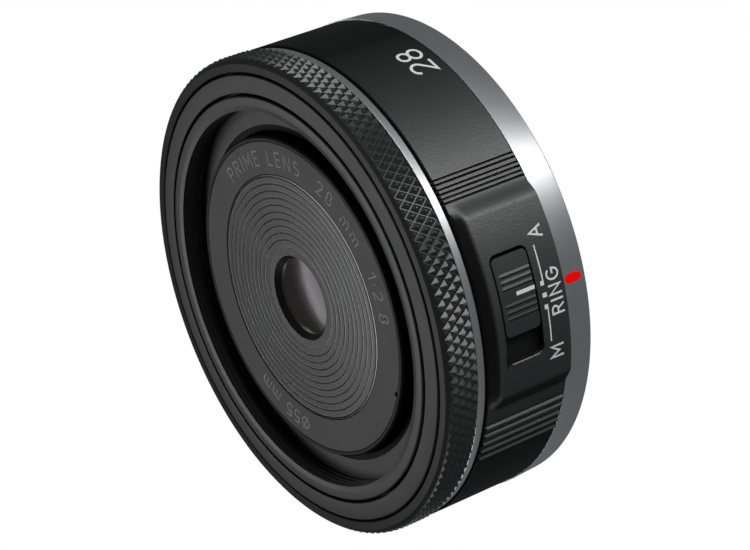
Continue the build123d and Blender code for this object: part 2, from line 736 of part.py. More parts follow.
def front_trim_ring():
    """Front ring between the grip and the filter ring; its skirt retains the grip."""
    inner, outer = TRIM_R
    top_in, top_out = TRIM_FRONT_Z
    seat_in, seat_out = HOUSING_R
    return turned([(seat_out, TRIM_FOOT_Z), (outer, TRIM_FOOT_Z), (outer, top_out - 0.15),
                   (outer - 0.15, top_out), (inner + 0.1, top_in), (inner, top_in - 0.1),
                   (inner, TRIM_INNER_Z), (seat_in, TRIM_INNER_Z), (seat_in, HOUSING_TOP_Z),
                   (seat_out, HOUSING_TOP_Z)])


def filter_ring():
    """Front ring with the filter thread."""
    corners = [(FILTER_OUT_R, FLOOR_Z), (FILTER_OUT_R, 24.55), (FILTER_OUT_R - 0.15, FRONT_Z - 0.02),
               (27.85, FRONT_Z), (27.2, FRONT_Z - 0.12)]
    depth = THREAD_ROOT_R - THREAD_R
    for turn in range(THREAD_TURNS):
        crest = THREAD_TOP_Z - turn * THREAD_PITCH
        root = crest - THREAD_FLAT - depth * THREAD_FLANK
        corners += [(THREAD_R, crest), (THREAD_R, crest - THREAD_FLAT)]
        corners += [(THREAD_ROOT_R, root), (THREAD_ROOT_R, root - THREAD_ROOT_FLAT)]
    corners.append((THREAD_R, FLOOR_Z))
    return turned(corners)


# ---- focus unit ----

def inner_barrel():
    """Focus tube with the web that carries the lens cells."""
    low, high = TUBE_Z
    body = turned([(TUBE_IN_R, low), (TUBE_R, low), (TUBE_R, high - 0.25), (TUBE_R - 0.25, high),
                   (22.5, high), (22.5, PLATE_Z), (TUBE_IN_R, PLATE_Z), (TUBE_IN_R, WEB_Z[1]),
                   (WEB_IN_R, WEB_Z[1]), (WEB_IN_R, WEB_Z[0]), (TUBE_IN_R, WEB_Z[0])])
    for az in ROLLER_AZ:
        body -= radial_pin(ROLLER_R, az, ROLLER_Z, 21, 24)
    for az in CELL_SCREW_AZ:
        body -= post(CELL_SCREW_R, CELL_SCREW_PCR, az, WEB_Z[0] - 0.1, CELL_SCREW_TOP)
    return body


def guide_rollers():
    """Three rollers on the focus tube, each in a straight slot and a helical slot."""
    return Compound([radial_pin(ROLLER_R, az, ROLLER_Z, 22.0, 25.75) for az in ROLLER_AZ])


def nameplate_ring():
    """Flat front ring, with a small notch for the assembly tool in its edge."""
    body = turned([(PLATE_R[0], PLATE_Z), (PLATE_R[1], PLATE_Z), (PLATE_R[1], FACE_Z - 0.08),
                   (PLATE_R[1] - 0.08, FACE_Z), (PLATE_R[0] + 0.05, FACE_Z), (PLATE_R[0], FACE_Z - 0.05)])
    place = point(PLATE_R[1], NOTCH_AZ, FACE_Z)
    return body - Pos(place.X, place.Y, place.Z) * Rot(0, 0, NOTCH_AZ + INDEX_AZ) * Box(*NOTCH_SIZE)


def front_baffle():
    """Stepped light baffle round the small front glass."""
    corners = [(6.9, PLATE_Z), (BAFFLE_R, PLATE_Z), (BAFFLE_R, FACE_Z - 0.02), (BAFFLE_R - 0.2, FACE_Z)]
    radius = BAFFLE_R - 0.25
    for step in range(BAFFLE_STEPS):
        corners.append((radius, FACE_Z - STEP_DROP))
        corners.append((radius - STEP_PITCH + 0.12, FACE_Z))
        radius -= STEP_PITCH
    corners.append((BAFFLE_HOLE_R + 0.05, FACE_Z - 0.02))
    corners.append((BAFFLE_LIP_R, PLATE_Z + 0.02))
    corners.append((BAFFLE_LIP_R, PLATE_Z))
    return turned(corners)


def front_cell():
    """Cell that holds the glass in front of the iris."""
    inner, outer = FRONT_CELL_R
    low, high = FRONT_CELL_FLANGE_Z
    return ring(inner, TUBE_IN_R, low, high) + ring(inner, outer, IRIS_TOP_Z, low)


def rear_cell():
    """Stepped cell that holds the glass behind the iris."""
    outline = [(7.12, 13.9), (8.95, 13.9), (8.95, 13.0), (15.5, 13.0), (15.5, 12.2), (12.2, 12.2),
               (12.2, 5.2), (15.8, 2.2), (15.8, -3.0), (13.6, -3.0), (13.6, -1.6), (14.42, -1.1),
               (14.42, 2.0), (10.82, 5.0), (10.82, 9.6), (7.12, 10.2)]
    body = turned(outline)
    for az in CELL_SCREW_AZ:
        body -= post(CELL_SCREW_R, CELL_SCREW_PCR, az, 12, 14)
    return body


def cell_screws():
    """Screws that hold the rear cell's flange to the focus tube's web."""
    screws = []
    for az in CELL_SCREW_AZ:
        head = post(CELL_HEAD_R, CELL_SCREW_PCR, az, *CELL_HEAD_Z)
        head -= post(CELL_HEAD_R, CELL_SCREW_PCR, az, 11, 12) & radial_bar(az)
        screws.append(head + post(CELL_SCREW_R, CELL_SCREW_PCR, az, CELL_HEAD_Z[1], CELL_SCREW_TOP))
    return Compound(screws)


def radial_bar(az):
    """Cutter for a screwdriver slot."""
    place = point(CELL_SCREW_PCR, az, CELL_HEAD_Z[0])
    return Pos(place.X, place.Y, place.Z) * Rot(0, 0, az) * Box(3, 0.3, 0.4)


def bulge_at_half(radius, bulge):
    """Height of a spherical face halfway to its edge, above the edge."""
    curve = (radius ** 2 + bulge ** 2) / (2 * abs(bulge))
    drop = curve - math.sqrt(curve ** 2 - (radius / 2) ** 2)
    return math.copysign(abs(bulge) - drop, bulge)


def lens(radius, low, high, rear_bulge, front_bulge):
    """One glass element from its edge heights and the bulge of each face."""
    half = radius / 2
    front_mid = high + bulge_at_half(radius, front_bulge)
    rear_mid = low - bulge_at_half(radius, rear_bulge)
    front = ThreePointArc((radius, 0, high), (half, 0, front_mid), (0, 0, high + front_bulge))
    axis = Line((0, 0, high + front_bulge), (0, 0, low - rear_bulge))
    rear = ThreePointArc((0, 0, low - rear_bulge), (half, 0, rear_mid), (radius, 0, low))
    edge = Line((radius, 0, low), (radius, 0, high))
    return revolve(make_face([front, axis, rear, edge]), Axis.Z, 360)


# ---- iris ----

def iris_base():
    """Lower iris plate with a wall and seven pivot pins."""
    body = ring(IRIS_HOLE_R, IRIS_WALL_R[1], IRIS_Z, IRIS_PLATE_Z)
    body += ring(*IRIS_WALL_R, IRIS_PLATE_Z, IRIS_TOP_Z)
    gate = (IRIS_PINION_AZ - IRIS_GATE_HALF, IRIS_PINION_AZ + IRIS_GATE_HALF)
    body -= sector(12, 13.5, 15.6, IRIS_TOP_Z + 0.1, *gate)
    for i in range(BLADES):
        body += post(PIVOT_R, PIVOT_PCR, i * 360 / BLADES, IRIS_PLATE_Z - 0.05, IRIS_RING_Z[0] - 0.06)
    return body


def iris_blade(number):
    """One curved blade: arc, pivot eye and drive pin, in its own thin layer."""
    low = BLADE_Z + number * BLADE_STEP
    high = low + BLADE_T
    start = number * 360 / BLADES
    first, last = BLADE_SPAN
    body = sector(*BLADE_R, low, high, start + first, start + last)
    body += post(BLADE_EYE_R, PIVOT_PCR, start, low, high)
    body += sector(BLADE_R[1] - 0.4, PIVOT_PCR, low, high, start + first, start - first)
    body += post(DRIVE_PIN_R, PIVOT_PCR - LEVER, start, low + 0.02, IRIS_RING_Z[1] - 0.05)
    return body - post(BLADE_BORE_R, PIVOT_PCR, start, low - 1, high + 1)


def iris_ring():
    """Drive ring with seven slots and a short rack."""
    inner, outer = IRIS_RING_R
    body = ring(inner, outer, *IRIS_RING_Z)
    body += rack(IRIS_TEETH, IRIS_PINION_AZ, outer - 0.3, *IRIS_RING_Z, IRIS_PINION_AZ - IRIS_RACK_HALF,
                 IRIS_PINION_AZ + IRIS_RACK_HALF)
    for i in range(BLADES):
        az = i * 360 / BLADES
        place = point(PIVOT_PCR - LEVER + 0.1, az, IRIS_RING_Z[0])
        body -= Pos(place.X, place.Y, place.Z) * Rot(0, 0, az + INDEX_AZ) * Box(0.9, 0.95, 2)
    return body


def iris_pinion_centre():
    """Where the iris motor's pinion stands."""
    return point(MODULE * (IRIS_TEETH + IRIS_PINION_TEETH) / 2, IRIS_PINION_AZ)


def iris_cover():
    """Upper iris plate, with an ear under the iris motor."""
    body = ring(IRIS_HOLE_R, IRIS_WALL_R[0], IRIS_TOP_Z - 0.25, IRIS_TOP_Z)
    body += sector(*EAR_R, IRIS_TOP_Z, EAR_Z, IRIS_PINION_AZ - EAR_HALF, IRIS_PINION_AZ + EAR_HALF)
    return body - axle(iris_pinion_centre(), EAR_BORE_R, IRIS_TOP_Z - 1, EAR_Z + 1)


def iris_pinion():
    """Pinion that turns the iris drive ring."""
    place = iris_pinion_centre()
    to_axis = IRIS_PINION_AZ + INDEX_AZ + 180
    body = gear(IRIS_PINION_TEETH, to_axis, *IRIS_PINION_Z, place)
    return body - axle(place, GEAR_BORE_R, IRIS_PINION_Z[0] - 1, IRIS_PINION_Z[1] + 1)


def iris_motor():
    """Small stepping motor for the iris, with its shaft pointing to the rear."""
    place = iris_pinion_centre()
    shaft = axle(place, MOTOR_SHAFT_R, IRIS_SHAFT_Z, IRIS_MOTOR_Z[0] + 0.1)
    return axle(place, IRIS_MOTOR_R, *IRIS_MOTOR_Z) + shaft


for part in (mount_flange, flange_screws, rear_baffle, contact_block, contact_pads, rear_ring, index_mark,
             main_chassis, main_board, board_chips, guide_sleeve, cam_retainer, dust_seal, focus_motor,
             gear_bracket, idler_gear, motor_pinion, cam_ring, home_sensor, outer_barrel, switch_knob,
             knob_line, switch_brush, switch_board, accent_ring, front_housing, control_ring,
             encoder_strip, ring_sensor, wave_washer, front_trim_ring, filter_ring, inner_barrel,
             guide_rollers, nameplate_ring, front_baffle, front_cell, rear_cell, cell_screws, iris_base,
             iris_cover, iris_ring, iris_pinion, iris_motor):
    save(part.__name__, part())
for number, shape in enumerate(GLASS, start=1):
    save(f"lens_{number}", lens(*shape))
for number in range(BLADES):
    save(f"iris_blade_{number + 1}", iris_blade(number))
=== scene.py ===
import math

import bmesh
import bpy
from mathutils import Matrix, Vector


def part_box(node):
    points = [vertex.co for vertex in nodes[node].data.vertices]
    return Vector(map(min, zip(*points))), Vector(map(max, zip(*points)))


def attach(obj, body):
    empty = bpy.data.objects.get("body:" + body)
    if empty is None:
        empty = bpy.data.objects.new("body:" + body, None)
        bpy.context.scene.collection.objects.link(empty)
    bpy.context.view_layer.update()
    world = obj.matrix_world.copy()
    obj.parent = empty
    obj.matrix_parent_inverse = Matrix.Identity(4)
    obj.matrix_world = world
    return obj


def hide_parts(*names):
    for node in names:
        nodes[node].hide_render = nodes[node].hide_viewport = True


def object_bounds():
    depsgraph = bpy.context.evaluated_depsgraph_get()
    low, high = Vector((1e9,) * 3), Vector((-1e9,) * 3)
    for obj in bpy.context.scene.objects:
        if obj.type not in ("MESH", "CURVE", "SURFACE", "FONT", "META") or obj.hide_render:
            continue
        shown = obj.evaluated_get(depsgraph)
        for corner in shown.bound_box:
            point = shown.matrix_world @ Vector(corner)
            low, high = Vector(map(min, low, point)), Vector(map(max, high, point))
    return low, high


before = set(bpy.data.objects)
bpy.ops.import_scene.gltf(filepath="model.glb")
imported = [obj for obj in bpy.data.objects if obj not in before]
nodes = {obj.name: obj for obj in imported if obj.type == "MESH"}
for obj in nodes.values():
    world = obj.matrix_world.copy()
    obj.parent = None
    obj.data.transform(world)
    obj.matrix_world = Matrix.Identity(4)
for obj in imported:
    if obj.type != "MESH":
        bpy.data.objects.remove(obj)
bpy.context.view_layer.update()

# Lengths below are in millimetres unless they are multiplied by MM or said to be metres. Azimuths
# are in degrees from the index mark.
MM = 0.001
INDEX_AZ = -90.0

# The camera: where it stands round the lens, how it is tilted, and how far away it is.
VIEW_AZ = 17.5
VIEW_TILT = 59.24
VIEW_ROLL = 111.20
VIEW_DISTANCE = 377.89 * MM
VIEW_CENTRE = Vector((0, 0, 12.537 * MM))
LENS_MM = 130.18
SHIFT = (0.01581, -0.00189)

# The barrel, its switch panel and its ribs.
BARREL_Z = (4.68, 18.1)
BARREL_R = 34.35
PANEL_RISE = 0.97
PANEL_HALF_WIDTH = 15.0
PANEL_SIDE_SLOPE = 3.2
PANEL_FRONT_SLOPE = 1.7
RIBS_RIGHT = (25.55, 27.7, 30.0)
RIBS_LEFT = (-28.7, -31.1, -33.5, -35.9, -38.3)
SLOT_AZ = (-13.1, 11.3)
SLOT_Z = (9.2, 15.4)
SLOT_CORNER = 1.1
SLOT_FLOOR_R = 34.2
STEM_SLOT_AZ = (-5.5, 3.9)
STEM_SLOT_Z = (11.1, 13.3)
CUTTER_R = 38.0
CUTTER_FLOOR_R = 31.0
POCKET_RIM_WIDTH = 0.12 * MM
INNER_R = 32.0
# The fine ribs' half widths in degrees and heights in millimetres.
LAND_HALF = 0.29
LAND_HEIGHT = 0.08
GROOVE_HALF = 0.78
GROOVE_HEIGHT = -0.5
RIB_TOP_HALF = 0.16
RIB_FOOT_HALF = 0.55
RIB_HEIGHT = 0.3
# The barrel's rounded front edge, as (how far in, how far down, share of the ribs that is left).
FRONT_EDGE = ((0.12, 0.08, 0.8), (0.28, 0.0, 0.6))
# Extra grid columns where the panel's sides bend, and beside each groove and ridge, in degrees.
BEND_AZ = 19.5
BEND_STEP = 0.4
BEND_COLUMNS = 16
GROOVE_COLUMNS = (0.27, 0.33, 0.73, 0.80)
RIDGE_COLUMNS = (0.0, 0.14, 0.2, 0.35, 0.55)
# Grid rows: a few on the plain part, and close ones over the panel's front slope.
PLAIN_ROWS_Z = (7.0, 9.0, 11.0, 12.6)
SLOPE_FROM_Z = 13.0
SLOPE_STEP = 0.3
SLOPE_ROWS = 16
# The part of the pocket's outline whose edge is softened.
RIM_REACH_AZ = 2.4
RIM_DEPTH = 0.4

# The two bright rings and the index mark's pocket, each a radius and height in millimetres.
REAR_RING = ((INNER_R, 0.3), (34.12, 0.3), (34.27, 0.45), (34.48, 4.66), (34.46, 4.68), (INNER_R, 4.68))
ACCENT_RING = ((INNER_R, 18.1), (33.4, 18.1), (33.4, 18.27), (34.06, 18.27), (34.12, 18.35),
               (34.12, 19.40), (34.06, 19.48), (33.0, 19.48), (33.0, 19.4), (INNER_R, 19.4))
MARK_R = 0.66
MARK_Z = (1.8, 3.2)
MARK_SURFACE_R = 34.4
MARK_FLOOR_R = 33.6

# The filter ring's thread.
THREAD_PITCH = 0.75
THREAD_R = 27.1
THREAD_ROOT_R = 27.5
THREAD_TOP_Z = 24.5
THREAD_TURNS = 5
THREAD_CLEAR = 0.4
FLOOR_Z = 21.5
FILTER_OUT_R = 29.12
FILTER_FOOT_R = 28.0
FILTER_LIP_Z = 24.56
# Depth along the helix against the share of the thread's height.
THREAD_STOPS = ((0.0, 0.0), (0.14, 0.0), (0.38, 0.9), (0.42, 1.0), (0.48, 1.0), (0.52, 0.9), (0.75, 0.0))

# The grip's knurl.
KNURL_COUNT = 143
KNURL_ROWS = 3
KNURL_ROW_PITCH = 1.07
KNURL_TOP_Z = 24.01
KNURL_VALLEY_R = 34.08
KNURL_CREST_R = 34.48
KNURL_FIRST_R = 34.33
KNURL_FIRST_DROP = 0.26
KNURL_INSET = 0.10
KNURL_TIP = 0.13
KNURL_PHASE = 17.6
# The grip's front corner, as (radius, how far behind the front).
GRIP_CORNER = ((34.05, 0.33), (33.66, 0.06), (33.56, 0.01), (32.5, 0.0), (32.4, 0.08))
GRIP_BORE_R = 32.4
GRIP_FLANGE_R = 31.5
GRIP_FLANGE_Z = (20.0, 21.0)
GRIP_REAR_R = 33.95

# The trim ring and the stepped baffle.
TRIM_RING = ((31.4, 21.3), (32.06, 21.3), (32.06, 24.36), (31.94, 24.48), (29.62, 24.62), (29.52, 24.52),
             (29.52, 22.8), (30.2, 22.8), (30.2, 24.0), (31.4, 24.0))
BAFFLE_BACK = ((6.9, 22.6), (17.65, 22.6), (17.65, 23.36), (17.5, 23.38))
BAFFLE_NOSE = ((7.36, 23.38), (6.15, 23.36), (5.55, 22.66), (5.55, 22.6))
BAFFLE_RINGS = 10
BAFFLE_GROOVE_R = 17.4
BAFFLE_LAND_R = 17.33
BAFFLE_Z = 23.38
BAFFLE_GROOVE_Z = 23.27
TOOL_MARKS = 7
TOOL_MARK_PITCH = 0.145
TOOL_MARK_DEPTH = 0.015

# Print: how far it stands up, how far it reaches in, and the circle and height of the nameplate's text.
PRINT_RISE = 0.03
PRINT_SINK = 0.02
PRINT_EDGE = 0.7
NAME_R = 20.1
NAME_Z = 23.38

# Soft boxes: name, azimuth, tilt, distance and size in metres, and power in watts.
LIGHTS = (
    ("streak", 37.0, 121, 0.7, (0.14, 0.5), 1.0),
    ("side", 50.0, 86, 0.5, (0.36, 0.16), 0.9),
    ("low", -85.0, 86, 0.5, (0.3, 0.2), 0.4),
    ("front_key", 190.5, 42, 0.45, (0.30, 0.13), 0.8),
)
# The room's light, by the direction's Z: from (low, high) to (strength below, strength above).
ROOM_Z = (-0.1, 0.3)
ROOM_STRENGTH = (0.125, 0.03)
ROOM_COLOUR = (0.90, 0.97, 1.0, 1.0)
# The share of sheen that is left in grooves and pockets, as painted shade in these recesses.
SUNK_SHEEN = 0.15
FLOOR_SIZE = 6.0
SENSOR_MM = 36.0
CLIP = (0.01, 20.0)


def polar(radius, az, z):
    """A point in metres from a radius and height in millimetres and an azimuth from the index mark."""
    turn = math.radians(az + INDEX_AZ)
    return Vector((radius * math.cos(turn), radius * math.sin(turn), z)) * MM


def new_object(name, verts, faces, smooth_deg=30):
    """A mesh object with smooth faces, and sharp edges where the surface turns more than smooth_deg."""
    mesh = bpy.data.meshes.new(name)
    mesh.from_pydata([tuple(v) for v in verts], [], faces)
    mesh.validate()
    mesh.update()
    obj = bpy.data.objects.new(name, mesh)
    bpy.context.scene.collection.objects.link(obj)
    smooth(obj, smooth_deg)
    return obj


def smooth(obj, smooth_deg):
    """Smooth shading that keeps creases sharper than smooth_deg."""
    mesh = obj.data
    mesh.polygons.foreach_set("use_smooth", [True] * len(mesh.polygons))
    mesh.set_sharp_from_angle(angle=math.radians(smooth_deg))
    mesh.update()


def turned(name, outline, steps=360, smooth_deg=30):
    """A closed ring turned about the axis from (radius, height) corners in millimetres."""
    verts = []
    faces = []
    count = len(outline)
    for k in range(steps):
        az = k * 360.0 / steps
        verts.extend(polar(radius, az, z) for radius, z in outline)
    for k in range(steps):
        here, there = k * count, (k + 1) % steps * count
        for i in range(count):
            j = (i + 1) % count
            faces.append((here + i, there + i, there + j, here + j))
    return new_object(name, verts, faces, smooth_deg)


def rounded(outline, radius):
    """The outline with every corner rounded, by less where its sides are short."""
    result = []
    count = len(outline)
    steps = 3
    for i, corner in enumerate(outline):
        here = Vector(corner)
        before = Vector(outline[i - 1]) - here
        after = Vector(outline[(i + 1) % count]) - here
        reach = min(radius, before.length * 0.45, after.length * 0.45)
        start = here + before.normalized() * reach
        end = here + after.normalized() * reach
        for k in range(steps + 1):
            t = k / steps
            result.append(tuple(start * (1 - t) ** 2 + here * 2 * t * (1 - t) + end * t ** 2))
    return result


def cut(obj, cutter):
    """Take one mesh out of another, and drop the cutter."""
    bpy.context.view_layer.update()
    step = obj.modifiers.new("cut", "BOOLEAN")
    step.object = cutter
    step.operation = "DIFFERENCE"
    step.solver = "EXACT"
    bpy.context.view_layer.update()
    mesh = bpy.data.meshes.new_from_object(obj.evaluated_get(bpy.context.evaluated_depsgraph_get()))
    obj.modifiers.remove(step)
    old = obj.data
    obj.data = mesh
    bpy.data.meshes.remove(old)
    bpy.data.objects.remove(cutter)


def prism(name, outline, inner, outer):
    """A block cut outwards from the axis, from (azimuth, height) corners."""
    verts = [polar(radius, az, z) for radius in (inner, outer) for az, z in outline]
    count = len(outline)
    faces = [tuple(range(count)), tuple(reversed(range(count, 2 * count)))]
    for i in range(count):
        j = (i + 1) % count
        faces.append((i, count + i, count + j, j))
    obj = new_object(name, verts, faces)
    flip_outwards(obj)
    return obj


def flip_outwards(obj):
    """Point every face of a closed mesh outwards."""
    work = bmesh.new()
    work.from_mesh(obj.data)
    bmesh.ops.recalc_face_normals(work, faces=work.faces)
    work.to_mesh(obj.data)
    work.free()


def fit_in(obj, key, body, node):
    """Material, body and replaced node of one piece."""
    obj.data.materials.clear()
    obj.data.materials.append(MATERIALS[key])
    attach(obj, body)
    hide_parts(node)


# ---- node materials ----

class Shader:
    """A material with one Principled shader, and short calls for the nodes that feed it."""

    def __init__(self, name, colour, roughness, metallic=0.0, specular=0.5):
        self.material = bpy.data.materials.new(name)
        self.material.use_nodes = True
        self.tree = self.material.node_tree
        self.shader = self.tree.nodes["Principled BSDF"]
        self.set("Base Color", (*colour, 1.0))
        self.set("Roughness", roughness)
        self.set("Metallic", metallic)
        self.set("Specular IOR Level", specular)
        coords = self.node("ShaderNodeTexCoord")
        self.coords = coords.outputs["Object"]

    def node(self, kind, **settings):
        """A new node with its settings."""
        made = self.tree.nodes.new(kind)
        for key, value in settings.items():
            setattr(made, key, value)
        return made

    def set(self, socket, value):
        """A fixed value on the shader."""
        self.shader.inputs[socket].default_value = value

    def link(self, source, target):
        """Join two sockets."""
        self.tree.links.new(source, target)

    def noise(self, scale, detail=3.0, rough=0.55, coords=None):
        """Noise over the object, with scale in waves per metre."""
        made = self.node("ShaderNodeTexNoise")
        made.inputs["Scale"].default_value = scale
        made.inputs["Detail"].default_value = detail
        made.inputs["Roughness"].default_value = rough
        self.link(coords or self.coords, made.inputs["Vector"])
        return made.outputs["Fac"]

    def maths(self, operation, first, second=None):
        """One sum on one or two values."""
        made = self.node("ShaderNodeMath", operation=operation)
        for slot, value in zip(made.inputs, (first, second)):
            if value is None:
                continue
            if isinstance(value, (int, float)):
                slot.default_value = value
            else:
                self.link(value, slot)
        return made.outputs[0]

    def ramp(self, value, low, high):
        """A value from 0..1 spread over low..high."""
        made = self.node("ShaderNodeMapRange")
        made.inputs["To Min"].default_value = low
        made.inputs["To Max"].default_value = high
        self.link(value, made.inputs["Value"])
        return made.outputs[0]

    def tint(self, value, dark, light):
        """A colour between two, by a value."""
        made = self.node("ShaderNodeMix", data_type="RGBA")
        made.inputs["A"].default_value = (*dark, 1.0)
        made.inputs["B"].default_value = (*light, 1.0)
        self.link(value, made.inputs["Factor"])
        return made.outputs["Result"]

    def radius(self):
        """Distance from the optical axis, in metres."""
        parts = self.node("ShaderNodeSeparateXYZ")
        self.link(self.coords, parts.inputs[0])
        square = self.maths("ADD", self.maths("MULTIPLY", parts.outputs[0], parts.outputs[0]),
                            self.maths("MULTIPLY", parts.outputs[1], parts.outputs[1]))
        return self.maths("SQRT", square)

    def height(self):
        """Height along the optical axis, in metres."""
        parts = self.node("ShaderNodeSeparateXYZ")
        self.link(self.coords, parts.inputs[0])
        return parts.outputs[2]

    def turned_noise(self, value, scale, detail=2.0):
        """Noise that changes only with one value, such as tool marks round a turned ring."""
        joined = self.node("ShaderNodeCombineXYZ")
        self.link(value, joined.inputs[0])
        return self.noise(scale, detail, 0.6, joined.outputs[0])

    def mottle(self, scale, detail, dark, light):
        """A colour that wanders between two."""
        self.feed("Base Color", self.tint(self.noise(scale, detail), dark, light))

    def bump(self, value, depth):
        """Fine relief, depth in metres."""
        made = self.node("ShaderNodeBump")
        made.inputs["Strength"].default_value = 1.0
        made.inputs["Distance"].default_value = depth
        self.link(value, made.inputs["Height"])
        previous = self.shader.inputs["Normal"].links
        if previous:
            self.link(previous[0].from_socket, made.inputs["Normal"])
        self.link(made.outputs["Normal"], self.shader.inputs["Normal"])

    def by_angle(self, start, full):
        """A smooth step from 0 to 1 between two shares of turning away: 0 faces the eye, 1 is edge on."""
        weight = self.node("ShaderNodeLayerWeight")
        weight.inputs["Blend"].default_value = 0.5
        made = self.node("ShaderNodeMapRange", interpolation_type="SMOOTHSTEP")
        made.inputs["From Min"].default_value = start
        made.inputs["From Max"].default_value = full
        self.link(weight.outputs["Facing"], made.inputs["Value"])
        return made.outputs[0]

    def fade(self, facing, edge_on):
        """Sheen that changes from a surface that faces the eye to one seen edge on."""
        weight = self.node("ShaderNodeLayerWeight")
        weight.inputs["Blend"].default_value = 0.5
        made = self.node("ShaderNodeMapRange")
        made.inputs["From Min"].default_value = 0.2
        made.inputs["From Max"].default_value = 0.6
        made.inputs["To Min"].default_value = facing
        made.inputs["To Max"].default_value = edge_on
        self.link(weight.outputs["Facing"], made.inputs["Value"])
        self.link(made.outputs[0], self.shader.inputs["Specular IOR Level"])
        return made.outputs[0]

    def painted_front_shade(self, level, share, slopes):
        """Less sheen on faces that turn to the front, by the lowest and highest slope: painted shade on the
        front-facing side.
        """
        shape = self.node("ShaderNodeNewGeometry")
        parts = self.node("ShaderNodeSeparateXYZ")
        self.link(shape.outputs["Normal"], parts.inputs[0])
        kept = self.node("ShaderNodeMapRange")
        for socket, value in zip(("From Min", "From Max", "To Min", "To Max"), (*slopes, 1.0, share)):
            kept.inputs[socket].default_value = value
        self.link(parts.outputs[2], kept.inputs["Value"])
        result = self.maths("MULTIPLY", level, kept.outputs[0])
        self.link(result, self.shader.inputs["Specular IOR Level"])
        return result

    def painted_sunk_shade(self, level, radius):
        """Less sheen in grooves and pockets, below a radius in metres: painted shade in the recesses."""
        outside = self.maths("GREATER_THAN", self.radius(), radius)
        kept = self.maths("ADD", self.maths("MULTIPLY", outside, 1 - SUNK_SHEEN), SUNK_SHEEN)
        self.link(self.maths("MULTIPLY", level, kept), self.shader.inputs["Specular IOR Level"])

    def feed(self, socket, value):
        """A varying value on the shader."""
        self.link(value, self.shader.inputs[socket])


def shade(colour, share):
    """A colour made darker or lighter, never above white."""
    return tuple(min(c * share, 1) for c in colour)


def moulded_black(name, colour, roughness, gloss, grain=9000, depth=0.000012, front=1.0,
                  slopes=(0.85, 0.95), sunk=0.0):
    """Moulded or painted black with fine grain, whose sheen fades where it is seen edge on."""
    s = Shader(name, colour, roughness)
    fine = s.noise(grain, 2.0)
    broad = s.noise(160, 3.0)
    s.mottle(420, 4.0, shade(colour, 0.86), shade(colour, 1.14))
    mixed = s.maths("ADD", s.ramp(fine, -0.05, 0.05), s.ramp(broad, roughness - 0.04, roughness + 0.04))
    s.feed("Roughness", mixed)
    level = s.fade(*gloss)
    # A front share below 1 paints shade on faces turned to the front by cutting their sheen.
    if front < 1.0:
        level = s.painted_front_shade(level, front, slopes)
    if sunk > 0:
        s.painted_sunk_shade(level, sunk)
    s.bump(fine, depth)
    return s.material


def turned_metal(name, colour, roughness, along):
    """Metal with fine tool marks, along its height or across its face."""
    s = Shader(name, colour, roughness, 1.0)
    value = s.height() if along == "height" else s.radius()
    marks = s.turned_noise(value, 16000, 3.0)
    broad = s.ramp(s.noise(240, 3.0), roughness - 0.025, roughness + 0.025)
    s.feed("Roughness", s.maths("ADD", s.ramp(marks, -0.05, 0.05), broad))
    s.mottle(700, 4.0, shade(colour, 0.95), shade(colour, 1.04))
    s.bump(marks, 0.0000015)
    return s.material


def grooved_black(name, colour, roughness):
    """Black plastic with fine tool marks that run round the axis."""
    s = Shader(name, colour, roughness)
    s.set("Specular IOR Level", 0.8)
    marks = s.turned_noise(s.radius(), 6000, 3.0)
    s.feed("Roughness", s.ramp(marks, roughness - 0.05, roughness + 0.05))
    s.mottle(700, 4.0, shade(colour, 0.9), shade(colour, 1.1))
    s.bump(marks, 0.000006)
    return s.material


def plain_paint(name, colour, roughness, glow=0.0, specular=0.5):
    """Printed or inlaid paint with a slightly uneven surface, and a little painted glow that makes bright
    inks brighter than the lamps light them.
    """
    s = Shader(name, colour, roughness, 0.0, specular)
    # The emission is painted light: a glow that brightens the ink beyond its lighting.
    s.set("Emission Color", (*colour, 1.0))
    s.set("Emission Strength", glow)
    s.feed("Roughness", s.ramp(s.noise(2500, 3.0), roughness - 0.08, roughness + 0.08))
    s.mottle(3000, 3.0, shade(colour, 0.9), colour)
    s.bump(s.noise(9000, 2.0), 0.000003)
    return s.material


def coated_glass():
    """Coated glass: half clear and brownish, with a painted reflection that makes it paler and more purple
    where it turns to the eye.
    """
    s = Shader("coated_glass", (1.0, 1.0, 1.0), 0.17)
    s.set("Transmission Weight", 0.4)
    s.set("IOR", 1.5)
    s.set("Specular Tint", (0.04, 0.03, 0.04, 1.0))
    s.set("Coat Weight", 0.06)
    s.set("Coat Roughness", 0.25)
    s.set("Coat IOR", 1.35)
    # Painted reflection: the base colour turns paler and more purple where the glass faces the eye, in place
    # of a soft reflection on the coating.
    painted_reflection = s.maths("ADD", s.by_angle(0.56, 0.36), s.ramp(s.noise(60, 2.0), 0.0, 0.04))
    s.feed("Base Color", s.tint(painted_reflection, (0.072, 0.060, 0.052), (0.21, 0.165, 0.22)))
    return s.material


